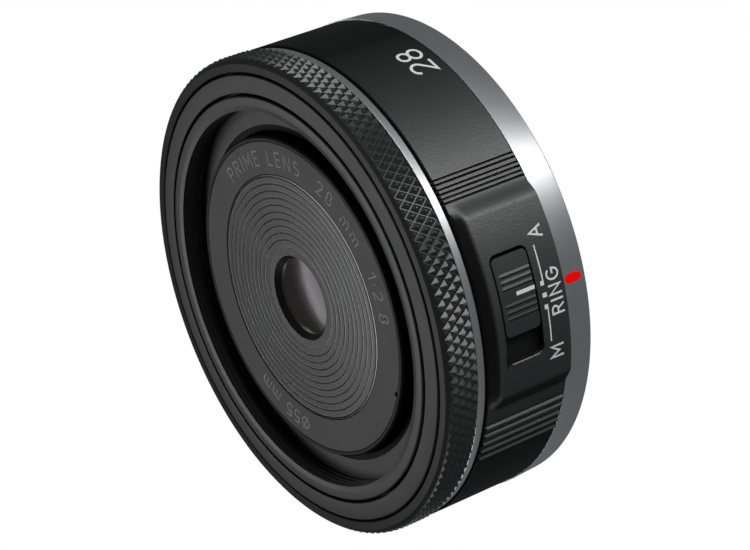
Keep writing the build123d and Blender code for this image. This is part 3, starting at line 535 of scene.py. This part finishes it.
MATERIALS = {
    "barrel": moulded_black("barrel_black", (0.011, 0.011, 0.011), 0.48, gloss=(1.7, 0.05), grain=3400,
                            depth=0.00004, front=0.1, slopes=(0.15, 0.5), sunk=34.28 * MM),
    "front": moulded_black("front_black", (0.030, 0.030, 0.030), 0.52, gloss=(0.36, 0.36), depth=0.000010),
    "grip": moulded_black("grip_black", (0.022, 0.022, 0.022), 0.36, gloss=(1.2, 0.25), depth=0.000004,
                          front=0.22),
    "knob": moulded_black("knob_black", (0.011, 0.011, 0.011), 0.45, gloss=(1.6, 0.05), grain=5000,
                          depth=0.000008),
    "inner": moulded_black("inner_black", (0.012, 0.012, 0.012), 0.55, gloss=(0.3, 0.1), grain=8000,
                           depth=0.000010),
    "baffle": grooved_black("baffle_black", (0.013, 0.013, 0.013), 0.27),
    "filter": moulded_black("filter_black", (0.028, 0.028, 0.028), 0.45, gloss=(0.4, 0.3), depth=0.000004),
    "silver": turned_metal("satin_silver", (0.70, 0.72, 0.74), 0.38, "height"),
    "mount": turned_metal("mount_plate", (0.78, 0.78, 0.78), 0.22, "radius"),
    "steel": turned_metal("steel", (0.55, 0.55, 0.56), 0.32, "height"),
    "brass": turned_metal("gear_brass", (0.80, 0.60, 0.26), 0.30, "height"),
    "gold": turned_metal("contact_gold", (0.95, 0.72, 0.30), 0.22, "radius"),
    # The red mark, the white print and the knob's line glow a little: painted light.
    "red": plain_paint("index_red", (0.95, 0.001, 0.002), 0.5, glow=0.34, specular=0.12),
    "white": plain_paint("print_white", (0.92, 0.92, 0.92), 0.5, glow=0.12),
    "grey_print": plain_paint("print_grey", (0.34, 0.34, 0.34), 0.5),
    "glass": coated_glass(),
    "board": plain_paint("board_green", (0.02, 0.16, 0.06), 0.35),
    "chip": moulded_black("chip_black", (0.015, 0.015, 0.015), 0.5, gloss=(0.4, 0.2)),
    "rubber": moulded_black("seal_rubber", (0.012, 0.012, 0.012), 0.75, gloss=(0.3, 0.1), grain=6000,
                            depth=0.00002),
    "gear": plain_paint("gear_white", (0.78, 0.76, 0.68), 0.4),
}

NODE_MATERIALS = {
    "barrel": ["outer_barrel"],
    "front": ["front_trim_ring", "nameplate_ring", "front_housing"],
    "grip": ["control_ring", "encoder_strip"],
    "knob": ["switch_knob"],
    "inner": ["rear_baffle", "contact_block", "main_chassis", "guide_sleeve", "front_cell", "rear_cell",
              "iris_base", "iris_cover", "home_sensor", "ring_sensor", "gear_bracket", "inner_barrel"],
    "baffle": ["front_baffle"],
    "filter": ["filter_ring"],
    "silver": ["rear_ring", "accent_ring"],
    "mount": ["mount_flange"],
    "steel": ["flange_screws", "cell_screws", "guide_rollers", "cam_retainer", "wave_washer", "focus_motor",
              "iris_motor", "cam_ring"],
    "brass": ["motor_pinion", "iris_pinion", "switch_brush"],
    "gold": ["contact_pads"],
    "red": ["index_mark"],
    "white": ["knob_line"],
    "glass": [f"lens_{i}" for i in range(1, 9)],
    "board": ["main_board", "switch_board"],
    "chip": ["board_chips", "iris_ring"] + [f"iris_blade_{i}" for i in range(1, 8)],
    "rubber": ["dust_seal"],
    "gear": ["idler_gear"],
}


def dress_nodes():
    """Give every CAD node its material."""
    for key, names in NODE_MATERIALS.items():
        for name in names:
            obj = nodes[name]
            obj.data.materials.clear()
            obj.data.materials.append(MATERIALS[key])


# ---- grip ----

def knurled_grip():
    """The grip ring with its diamond knurl: pyramids with small flat tops between flat valleys."""
    verts = []
    faces = []
    half = 180.0 / KNURL_COUNT
    lattice = {}
    edges = {0: {}, KNURL_ROWS + 1: {}}

    def add(radius, az, z):
        verts.append(polar(radius, az, z))
        return len(verts) - 1

    def corner(column, row):
        """A lattice point: half steps round the ring, row steps down from the top."""
        key = (column % (2 * KNURL_COUNT), row)
        if key not in lattice:
            z = KNURL_TOP_Z - row * KNURL_ROW_PITCH
            lattice[key] = add(KNURL_VALLEY_R, KNURL_PHASE + key[0] * half, z)
        return lattice[key]

    def diamond(column, row):
        """One pyramid; the first row keeps only its lower half and the last row its upper half."""
        az = KNURL_PHASE + column * half
        z = KNURL_TOP_Z - row * KNURL_ROW_PITCH
        steps = [(1, 0), (0, 1), (-1, 0), (0, -1)]
        if row == 0:
            steps = [(-1, 0), (0, -1), (1, 0)]
        if row == KNURL_ROWS + 1:
            steps = steps[:3]
        outer = [corner(column + s, row - t) for s, t in steps]
        inset = 1 - KNURL_INSET
        low = [add(KNURL_VALLEY_R, az + s * half * inset, z + t * KNURL_ROW_PITCH * inset) for s, t in steps]
        crest = KNURL_CREST_R if row else KNURL_FIRST_R
        peak = z if row else z - KNURL_FIRST_DROP
        top = [add(crest, az + s * half * KNURL_TIP, peak + t * KNURL_ROW_PITCH * KNURL_TIP)
               for s, t in steps]
        count = len(steps)
        for i in range(count if count == 4 else 2):
            j = (i + 1) % count
            faces.append((outer[i], outer[j], low[j], low[i]))
            faces.append((low[i], low[j], top[j], top[i]))
        faces.append(tuple(top))
        if row in edges:
            line = [outer[0], low[0], top[0], top[2], low[2]]
            edges[row][column] = line if row == 0 else [outer[2], low[2], top[2], top[0], low[0]]

    for row in range(KNURL_ROWS + 2):
        for k in range(KNURL_COUNT):
            diamond(2 * k + (row + 1) % 2, row)
    upper, lower = ([v for column in sorted(found) for v in found[column]] for found in edges.values())
    grip_body(verts, faces, upper, lower)
    return new_object("knurled_grip", verts, faces, 20)


def grip_body(verts, faces, upper, lower):
    """The plain rest of the grip: chamfer, front face, bore with its flange, and rear face."""
    low, high = (v.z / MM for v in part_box("control_ring"))
    flange_low, flange_high = GRIP_FLANGE_Z
    outline = [(KNURL_VALLEY_R, KNURL_TOP_Z + 0.05)]
    outline += [(radius, high - behind) for radius, behind in GRIP_CORNER]
    outline += [(GRIP_BORE_R, flange_high), (GRIP_FLANGE_R, flange_high), (GRIP_FLANGE_R, flange_low)]
    outline += [(GRIP_BORE_R, flange_low), (GRIP_BORE_R, low), (GRIP_REAR_R, low)]
    outline.append((KNURL_VALLEY_R, low + 0.07))
    rings = []
    for radius, z in outline:
        start = len(verts)
        for k in range(KNURL_COUNT):
            verts.append(polar(radius, KNURL_PHASE + k * 360.0 / KNURL_COUNT, z))
        rings.append(list(range(start, start + KNURL_COUNT)))
    for first, second in zip(rings, rings[1:]):
        for k in range(KNURL_COUNT):
            n = (k + 1) % KNURL_COUNT
            faces.append((first[k], first[n], second[n], second[k]))
    share = len(upper) // KNURL_COUNT
    for edge, ring, front in ((upper, rings[0], True), (lower, rings[-1], False)):
        for k in range(KNURL_COUNT):
            n = (k + 1) % KNURL_COUNT
            strip = edge[k * share:(k + 1) * share] + [edge[((k + 1) * share) % len(edge)]]
            if front:
                faces.append((*strip, ring[n], ring[k]))
            else:
                faces.append((ring[k], ring[n], *reversed(strip)))


# ---- barrel and rings ----

def eased(share):
    """A share held to 0..1, with both ends eased."""
    held = min(max(share, 0), 1)
    return held * held * (3 - 2 * held)


def panel_height(az, z):
    """How far the switch panel stands above the barrel at a place."""
    from_side = PANEL_HALF_WIDTH - abs(math.radians(az) * BARREL_R)
    from_front = BARREL_Z[1] - z
    front = min(max(from_front / PANEL_FRONT_SLOPE, 0), 1)
    return PANEL_RISE * eased(from_side / PANEL_SIDE_SLOPE) * (0.5 * front + 0.5 * eased(front))


def rib_height(az):
    """Height of the fine ribs at an azimuth: lands between grooves on the right, ridges on the left."""
    for middle in RIBS_RIGHT:
        away = abs(az - middle)
        if away < LAND_HALF:
            return LAND_HEIGHT
        if away < GROOVE_HALF:
            return GROOVE_HEIGHT
    for middle in RIBS_LEFT:
        away = abs(az - middle)
        if away < RIB_TOP_HALF:
            return RIB_HEIGHT
        if away < RIB_FOOT_HALF:
            return RIB_HEIGHT * (RIB_FOOT_HALF - away) / (RIB_FOOT_HALF - RIB_TOP_HALF)
    return 0.0


def barrel_azimuths():
    """Columns of the barrel's grid: close together where the surface bends."""
    stops = set()
    for i in range(360):
        stops.add(round(-180.0 + i, 3))
    for i in range(BEND_COLUMNS):
        for side in (-1, 1):
            stops.add(round(side * (BEND_AZ + i * BEND_STEP), 3))
    for middle in RIBS_RIGHT:
        for away in GROOVE_COLUMNS:
            stops.update((round(middle - away, 3), round(middle + away, 3)))
    for middle in RIBS_LEFT:
        for away in RIDGE_COLUMNS:
            stops.update((round(middle - away, 3), round(middle + away, 3)))
    ordered = sorted(stops)
    kept = [ordered[0]]
    for az in ordered[1:]:
        if az - kept[-1] > 0.05:
            kept.append(az)
    return kept


def barrel():
    """The barrel with its softly blended switch panel, ribs and switch pocket."""
    low, high = BARREL_Z
    heights = [low + 0.04, low + 0.5, *PLAIN_ROWS_Z]
    heights += [SLOPE_FROM_Z + SLOPE_STEP * i for i in range(SLOPE_ROWS)] + [high - 0.25]
    columns = barrel_azimuths()
    verts = []
    for az in columns:
        rib = rib_height(az)
        line = [(INNER_R, low), (BARREL_R - 0.05 + panel_height(az, low) + rib, low)]
        line += [(BARREL_R + panel_height(az, z) + rib, z) for z in heights]
        line += [(BARREL_R - inward + rib * share, high - down) for inward, down, share in FRONT_EDGE]
        line.append((INNER_R, high))
        verts.extend(polar(radius, az, z) for radius, z in line)
    profile_count = len(verts) // len(columns)
    faces = []
    for k in range(len(columns)):
        here, there = k * profile_count, (k + 1) % len(columns) * profile_count
        for i in range(profile_count):
            j = (i + 1) % profile_count
            faces.append((here + i, there + i, there + j, here + j))
    obj = new_object("barrel_shell", verts, faces, 30)
    flip_outwards(obj)
    cut(obj, prism("pocket", pocket_outline(), SLOT_FLOOR_R, CUTTER_R))
    az_from, az_to = STEM_SLOT_AZ
    z_from, z_to = STEM_SLOT_Z
    stem = [(az_from, z_from), (az_to, z_from), (az_to, z_to), (az_from, z_to)]
    cut(obj, prism("stem_slot", stem, CUTTER_FLOOR_R, CUTTER_R))
    smooth(obj, 28)
    edge = obj.modifiers.new("soft_edges", "BEVEL")
    edge.width = POCKET_RIM_WIDTH
    edge.segments = 1
    edge.limit_method = "WEIGHT"
    edge.use_clamp_overlap = False
    mark_pocket_rim(obj)
    return obj


def mark_pocket_rim(obj):
    """Give the bevel its edges: the top edge of the pocket's lower end."""
    weights = obj.data.attributes.new("bevel_weight_edge", "FLOAT", "EDGE")
    turn = math.radians(-INDEX_AZ)
    limit = math.radians(SLOT_AZ[0] + RIM_REACH_AZ)
    for edge in obj.data.edges:
        ends = [obj.data.vertices[i].co for i in edge.vertices]
        inside = True
        for end in ends:
            az = math.atan2(end.y, end.x) + turn
            inside = inside and abs(az) < math.radians(14) and az < limit
            inside = inside and SLOT_Z[0] - 0.02 < end.z / MM < SLOT_Z[1] + 0.02
            inside = inside and end.xy.length / MM > SLOT_FLOOR_R + RIM_DEPTH
        weights.data[edge.index].value = 1.0 if inside else 0.0


def pocket_outline():
    """The switch pocket's outline with round corners, as (azimuth, height)."""
    turn = math.degrees(SLOT_CORNER / (BARREL_R + PANEL_RISE))
    corners = []
    left, right = SLOT_AZ[0] + turn, SLOT_AZ[1] - turn
    low, high = SLOT_Z[0] + SLOT_CORNER, SLOT_Z[1] - SLOT_CORNER
    middles = ((right, high, 0), (left, high, 90), (left, low, 180), (right, low, 270))
    for az, z, start in middles:
        for k in range(7):
            way = math.radians(start + 15 * k)
            corners.append((az + turn * math.cos(way), z + SLOT_CORNER * math.sin(way)))
    filled = []
    for i, (az, z) in enumerate(corners):
        filled.append((az, z))
        next_az, next_z = corners[(i + 1) % len(corners)]
        parts = int(abs(next_az - az) / 1.0)
        for k in range(1, parts):
            filled.append((az + (next_az - az) * k / parts, z + (next_z - z) * k / parts))
    return filled


def bright_rings():
    """The two satin rings, turned finer than the solids."""
    rear = turned("rear_ring_bright", rounded(REAR_RING, 0.06), 720)
    flip_outwards(rear)
    cut(rear, pill_cutter())
    smooth(rear, 30)
    accent = turned("accent_ring_bright", rounded(ACCENT_RING, 0.03), 720)
    return rear, accent


def pill_cutter():
    """The index mark's pocket, a little larger than the mark."""
    outline = []
    low, high = MARK_Z
    for z, start in ((high, 0), (low, 180)):
        for k in range(13):
            way = math.radians(start + 15 * k)
            az = math.degrees(MARK_R * math.cos(way) / MARK_SURFACE_R)
            outline.append((az, z + MARK_R * math.sin(way)))
    return prism("pill", outline, MARK_FLOOR_R, 36)


def thread_profile(depth_below_top):
    """Thread radius at a depth along the helix: flat crest, sloping flanks, narrow root."""
    t = depth_below_top % THREAD_PITCH
    span = THREAD_ROOT_R - THREAD_R
    for (t_from, r_from), (t_to, r_to) in zip(THREAD_STOPS, THREAD_STOPS[1:]):
        if t <= t_to:
            return THREAD_R + span * (r_from + (r_to - r_from) * (t - t_from) / (t_to - t_from))
    return THREAD_R


def threaded_ring():
    """The filter ring with a true helical thread."""
    steps = 360
    bottom = FLOOR_Z
    outer = rounded([(THREAD_R + 0.02, FILTER_LIP_Z), (27.85, 24.7), (FILTER_OUT_R - 0.15, 24.68),
                     (FILTER_OUT_R, 24.53), (FILTER_OUT_R, bottom), (FILTER_FOOT_R, bottom)], 0.05)[4:-4]
    verts = []
    for k in range(steps + 1):
        az = k * 360.0 / steps
        rise = THREAD_PITCH * k / steps
        line = []
        for turn in range(THREAD_TURNS + 1):
            for t, _ in THREAD_STOPS[:-1]:
                z = THREAD_TOP_Z + rise - turn * THREAD_PITCH - t
                z = min(max(z, bottom + THREAD_CLEAR), THREAD_TOP_Z)
                line.append((thread_profile(THREAD_TOP_Z + rise - z), z))
        line.reverse()
        line += [(THREAD_R + 0.03, FILTER_LIP_Z)] + outer + [(FILTER_FOOT_R, bottom), (THREAD_R, bottom)]
        verts.extend(polar(radius, az, z) for radius, z in line)
    column = len(verts) // (steps + 1)
    faces = []
    for k in range(steps):
        here, there = k * column, (k + 1) * column
        for i in range(column):
            j = (i + 1) % column
            faces.append((here + i, there + i, there + j, here + j))
    obj = new_object("threaded_ring", verts, faces, 25)
    weld(obj)
    smooth(obj, 25)
    return obj


def weld(obj):
    """Join vertices that lie on one another and drop the empty faces between them."""
    work = bmesh.new()
    work.from_mesh(obj.data)
    bmesh.ops.remove_doubles(work, verts=work.verts, dist=0.002 * MM)
    bmesh.ops.dissolve_degenerate(work, edges=work.edges, dist=0.001 * MM)
    bmesh.ops.recalc_face_normals(work, faces=work.faces)
    work.to_mesh(obj.data)
    work.free()


def front_rings():
    """Trim ring and stepped baffle, turned finer than the solids."""
    trim = turned("trim_ring_fine", rounded(TRIM_RING, 0.05), 480)
    outline = list(BAFFLE_BACK)
    for ring in range(BAFFLE_RINGS):
        outline.append((BAFFLE_GROOVE_R - ring, BAFFLE_GROOVE_Z))
        for mark in range(TOOL_MARKS):
            radius = BAFFLE_LAND_R - ring - mark * TOOL_MARK_PITCH
            outline.append((radius, BAFFLE_Z - TOOL_MARK_DEPTH * (mark % 2)))
    outline += BAFFLE_NOSE
    baffle = turned("baffle_fine", outline, 360, 40)
    return trim, baffle


# ---- lettering ----

def arc(x, y, rx, ry, start, end, steps=10):
    """Points on an ellipse between two angles."""
    result = []
    for i in range(steps + 1):
        way = math.radians(start + (end - start) * i / steps)
        result.append((x + rx * math.cos(way), y + ry * math.sin(way)))
    return result


# Single-stroke lettering: width, then the strokes, in shares of the capital height.
GLYPHS = {
    "A": (0.72, [[(0, 0), (0.36, 1), (0.72, 0)], [(0.12, 0.33), (0.6, 0.33)]]),
    "M": (0.82, [[(0, 0), (0, 1), (0.41, 0.3), (0.82, 1), (0.82, 0)]]),
    "R": (0.6, [[(0, 0), (0, 1)] + arc(0.32, 0.75, 0.25, 0.25, 90, -90) + [(0, 0.5)],
                [(0.32, 0.5), (0.6, 0)]]),
    "I": (0.0, [[(0, 0), (0, 1)]]),
    "N": (0.66, [[(0, 0), (0, 1), (0.66, 0), (0.66, 1)]]),
    "G": (0.74, [arc(0.4, 0.5, 0.4, 0.5, 48, 360, 22) + [(0.45, 0.5)]]),
    "P": (0.56, [[(0, 0), (0, 1)] + arc(0.3, 0.74, 0.26, 0.26, 90, -90) + [(0, 0.48)]]),
    "E": (0.52, [[(0.52, 0), (0, 0), (0, 1), (0.52, 1)], [(0, 0.52), (0.46, 0.52)]]),
    "L": (0.5, [[(0, 1), (0, 0), (0.5, 0)]]),
    "S": (0.56, [arc(0.28, 0.75, 0.25, 0.25, 40, 270, 12)[:-1] + arc(0.28, 0.25, 0.28, 0.25, 90, -140, 12)]),
    "1": (0.3, [[(0, 0.72), (0.3, 1), (0.3, 0)]]),
    "2": (0.58, [arc(0.29, 0.72, 0.28, 0.28, 165, -35) + [(0, 0), (0.58, 0)]]),
    "5": (0.56, [[(0.52, 1), (0.08, 1), (0.05, 0.55)] + arc(0.26, 0.31, 0.3, 0.31, 125, -145, 14)]),
    "8": (0.6, [arc(0.3, 0.76, 0.25, 0.24, 90, 450, 20), arc(0.3, 0.26, 0.3, 0.26, 90, 450, 20)]),
    "m": (0.84, [[(0, 0), (0, 0.68)], arc(0.21, 0.47, 0.21, 0.21, 180, 0, 8) + [(0.42, 0)],
                 arc(0.63, 0.47, 0.21, 0.21, 180, 0, 8) + [(0.84, 0)]]),
    ":": (0.0, [[(0, 0.1), (0, 0.14)], [(0, 0.5), (0, 0.54)]]),
    ".": (0.0, [[(0, 0.0), (0, 0.04)]]),
    "\u00d8": (0.8, [arc(0.4, 0.5, 0.4, 0.42, 0, 360, 26), [(0.08, -0.02), (0.72, 1.02)]]),
    " ": (0.3, []),
}


def text_mesh(text, height, stroke=0.22, spacing=0.28):
    """Flat lettering with a constant stroke, centred on its own middle, capitals height mm tall."""
    work = bmesh.new()
    pen = 0.0
    for letter in text:
        width, strokes = GLYPHS[letter]
        for line in strokes:
            ribbon(work, [((pen + x) * height, (y - 0.5) * height) for x, y in line], stroke)
        pen += width + spacing
    middle = (pen - spacing) * height / 2
    for vert in work.verts:
        vert.co.x -= middle
    return work


def ribbon(work, line, stroke):
    """One stroke of lettering as a strip of even width with square ends."""
    points = [Vector(p) for p in line]
    closed = (points[0] - points[-1]).length < 1e-6
    if closed:
        points.pop()
    count = len(points)
    left, right = [], []
    for i, here in enumerate(points):
        before = points[i - 1] if closed or i else None
        after = points[(i + 1) % count] if closed or i < count - 1 else None
        ways = []
        if before is not None:
            ways.append((here - before).normalized())
        if after is not None:
            ways.append((after - here).normalized())
        way = sum(ways, Vector((0, 0))).normalized()
        side = Vector((-way.y, way.x))
        reach = stroke / 2 / max(abs(side.dot(Vector((-ways[0].y, ways[0].x)))), 0.45)
        place = here
        if before is None:
            place = here - way * stroke * 0.4
        if after is None:
            place = here + way * stroke * 0.4
        left.append(work.verts.new((*(place + side * reach), 0)))
        right.append(work.verts.new((*(place - side * reach), 0)))
    for i in range(count if closed else count - 1):
        j = (i + 1) % count
        work.faces.new((left[i], right[i], right[j], left[j]))


def refine(work, longest):
    """Split edges until none is longer than this many millimetres, so lettering can follow a curve."""
    bmesh.ops.triangulate(work, faces=work.faces)
    for _ in range(4):
        long_edges = [e for e in work.edges if e.calc_length() > longest]
        if not long_edges:
            break
        bmesh.ops.subdivide_edges(work, edges=long_edges, cuts=1)
        bmesh.ops.triangulate(work, faces=work.faces)


def raised(name, work, place):
    """Turn flat lettering into thin raised print: place maps (x, y, lift) in mm to a point."""
    refine(work, PRINT_EDGE)
    solid = bmesh.ops.extrude_face_region(work, geom=work.faces[:])
    lifted = {g for g in solid["geom"] if isinstance(g, bmesh.types.BMVert)}
    for vert in work.verts:
        lift = PRINT_RISE if vert in lifted else -PRINT_SINK
        vert.co = place(vert.co.x, vert.co.y, lift)
    bmesh.ops.recalc_face_normals(work, faces=work.faces)
    mesh = bpy.data.meshes.new(name)
    work.to_mesh(mesh)
    work.free()
    obj = bpy.data.objects.new(name, mesh)
    bpy.context.scene.collection.objects.link(obj)
    smooth(obj, 30)
    return obj


def print_on(name, work, place, body="body", material="white"):
    """Raise the lettering, paint it, and let it ride."""
    obj = raised(name, work, place)
    obj.data.materials.append(MATERIALS[material])
    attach(obj, body)


def round_barrel(radius, az, z):
    """Places lettering on a cylinder about the axis. Text runs with azimuth, its top to the front."""
    def place(x, y, lift):
        return polar(radius + lift, az + math.degrees(x / radius), z + y)
    return place


def round_face(radius, az, z):
    """Places lettering round the front face, read from the front, its top outwards."""
    def place(x, y, lift):
        return polar(radius + y, az - math.degrees(x / radius), z + lift)
    return place


def bar(width, height):
    """A plain printed bar, as flat lettering."""
    work = bmesh.new()
    signs = ((-1, -1), (1, -1), (1, 1), (-1, 1))
    work.faces.new([work.verts.new((x * width / 2, y * height / 2, 0)) for x, y in signs])
    return work


def add_prints():
    """All the printed marks."""
    panel = BARREL_R + PANEL_RISE
    print_on("print_a", text_mesh("A", 1.95, 0.28), round_barrel(panel, 12.7, 7.2))
    print_on("print_m", text_mesh("M", 1.95, 0.28), round_barrel(panel, -14.2, 7.1))
    print_on("print_ring", text_mesh("RING", 1.85, 0.27, 0.42), round_barrel(panel, -0.8, 6.35))
    bars = (
        ("mark_a", 5.3, 0.2, 5.9, 8.0),
        ("mark_a_end", 0.6, 0.6, 1.85, 8.2),
        ("mark_mid", 0.6, 0.7, -0.8, 8.15),
        ("mark_m_end", 0.6, 0.6, -3.4, 8.2),
        ("mark_m", 4.9, 0.2, -7.4, 8.0),
    )
    for name, width, height, az, z in bars:
        print_on(name, bar(width, height), round_barrel(panel, az, z))
    print_on("print_focal", text_mesh("28", 3.5, 0.4), round_barrel(BARREL_R, 61.0, 7.95))
    around = (
        ("print_data", "PRIME LENS  28 mm  1:2.8", 0.5, 60.5),
        ("print_filter", "\u00d855 mm", 0.35, 239.5),
    )
    for name, text, spacing, az in around:
        place = round_face(NAME_R, az, NAME_Z)
        print_on(name, text_mesh(text, 2.0, 0.17, spacing), place, "focus_unit", "grey_print")


# ---- stage ----

def add_floor():
    """Pale floor under the lens, seen by the camera alone."""
    bpy.ops.mesh.primitive_plane_add(size=FLOOR_SIZE, location=(0, 0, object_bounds()[0].z))
    floor = bpy.context.object
    floor.name = "floor"
    material = bpy.data.materials.new("floor_white")
    material.use_nodes = True
    tree = material.node_tree
    tree.nodes.clear()
    glow = tree.nodes.new("ShaderNodeEmission")
    glow.inputs["Strength"].default_value = 1.0
    out = tree.nodes.new("ShaderNodeOutputMaterial")
    tree.links.new(glow.outputs[0], out.inputs["Surface"])
    floor.data.materials.append(material)
    floor.visible_diffuse = False
    floor.visible_glossy = False
    floor.visible_transmission = False
    floor.visible_shadow = False


def add_room():
    """Faint light from all round, stronger from below; the camera itself sees plain white."""
    world = bpy.data.worlds.new("studio")
    bpy.context.scene.world = world
    world.use_nodes = True
    made, link = world.node_tree.nodes, world.node_tree.links.new
    back = made["Background"]
    back.inputs["Color"].default_value = ROOM_COLOUR
    coords = made.new("ShaderNodeTexCoord")
    parts = made.new("ShaderNodeSeparateXYZ")
    spread = made.new("ShaderNodeMapRange")
    limits = (*ROOM_Z, *ROOM_STRENGTH)
    for socket, value in zip(("From Min", "From Max", "To Min", "To Max"), limits):
        spread.inputs[socket].default_value = value
    link(coords.outputs["Generated"], parts.inputs[0])
    link(parts.outputs[2], spread.inputs["Value"])
    link(spread.outputs[0], back.inputs["Strength"])
    seen = made.new("ShaderNodeBackground")
    seen.inputs["Color"].default_value = (1.0, 1.0, 1.0, 1.0)
    ray = made.new("ShaderNodeLightPath")
    both = made.new("ShaderNodeMixShader")
    link(ray.outputs["Is Camera Ray"], both.inputs[0])
    link(back.outputs[0], both.inputs[1])
    link(seen.outputs[0], both.inputs[2])
    link(both.outputs[0], made["World Output"].inputs["Surface"])
    bpy.context.scene.view_settings.view_transform = "Standard"


def outward(az, tilt):
    """The direction at an azimuth off the index mark and a tilt off the optical axis."""
    lean = math.radians(tilt)
    turn = math.radians(az + INDEX_AZ)
    return Vector((math.sin(lean) * math.cos(turn), math.sin(lean) * math.sin(turn), math.cos(lean)))


def soft_light(name, az, tilt, distance, size, power):
    """A soft box that looks at the lens."""
    light = bpy.data.lights.new(name, "AREA")
    light.shape = "RECTANGLE"
    light.size, light.size_y = size
    light.energy = power
    obj = bpy.data.objects.new(name, light)
    bpy.context.scene.collection.objects.link(obj)
    out = outward(az, tilt)
    obj.location = VIEW_CENTRE + out * distance
    obj.rotation_mode = "QUATERNION"
    obj.rotation_quaternion = out.to_track_quat("Z", "Y")


def add_camera():
    """The camera at its angle, rolled about its own axis."""
    back = outward(VIEW_AZ, VIEW_TILT)
    up = (Vector((0, 0, 1)) - back * back.z).normalized()
    right = up.cross(back)
    roll = math.radians(VIEW_ROLL)
    up_rolled = up * math.cos(roll) + right * math.sin(roll)
    right_rolled = up_rolled.cross(back)
    data = bpy.data.cameras.new("camera")
    data.sensor_width = SENSOR_MM
    data.lens = LENS_MM
    data.shift_x, data.shift_y = SHIFT
    data.clip_start, data.clip_end = CLIP
    camera = bpy.data.objects.new("camera", data)
    bpy.context.scene.collection.objects.link(camera)
    place = VIEW_CENTRE + back * VIEW_DISTANCE
    camera.matrix_world = Matrix((
        (right_rolled.x, up_rolled.x, back.x, place.x),
        (right_rolled.y, up_rolled.y, back.y, place.y),
        (right_rolled.z, up_rolled.z, back.z, place.z),
        (0, 0, 0, 1),
    ))
    bpy.context.scene.camera = camera


add_camera()
dress_nodes()
fit_in(knurled_grip(), "grip", "grip", "control_ring")
fit_in(barrel(), "barrel", "body", "outer_barrel")
rear_ring, accent_ring = bright_rings()
fit_in(rear_ring, "silver", "body", "rear_ring")
fit_in(accent_ring, "silver", "body", "accent_ring")
fit_in(threaded_ring(), "filter", "body", "filter_ring")
trim_ring, baffle = front_rings()
fit_in(trim_ring, "front", "body", "front_trim_ring")
fit_in(baffle, "baffle", "focus_unit", "front_baffle")
add_prints()
add_floor()
add_room()
for box in LIGHTS:
    soft_light(*box)
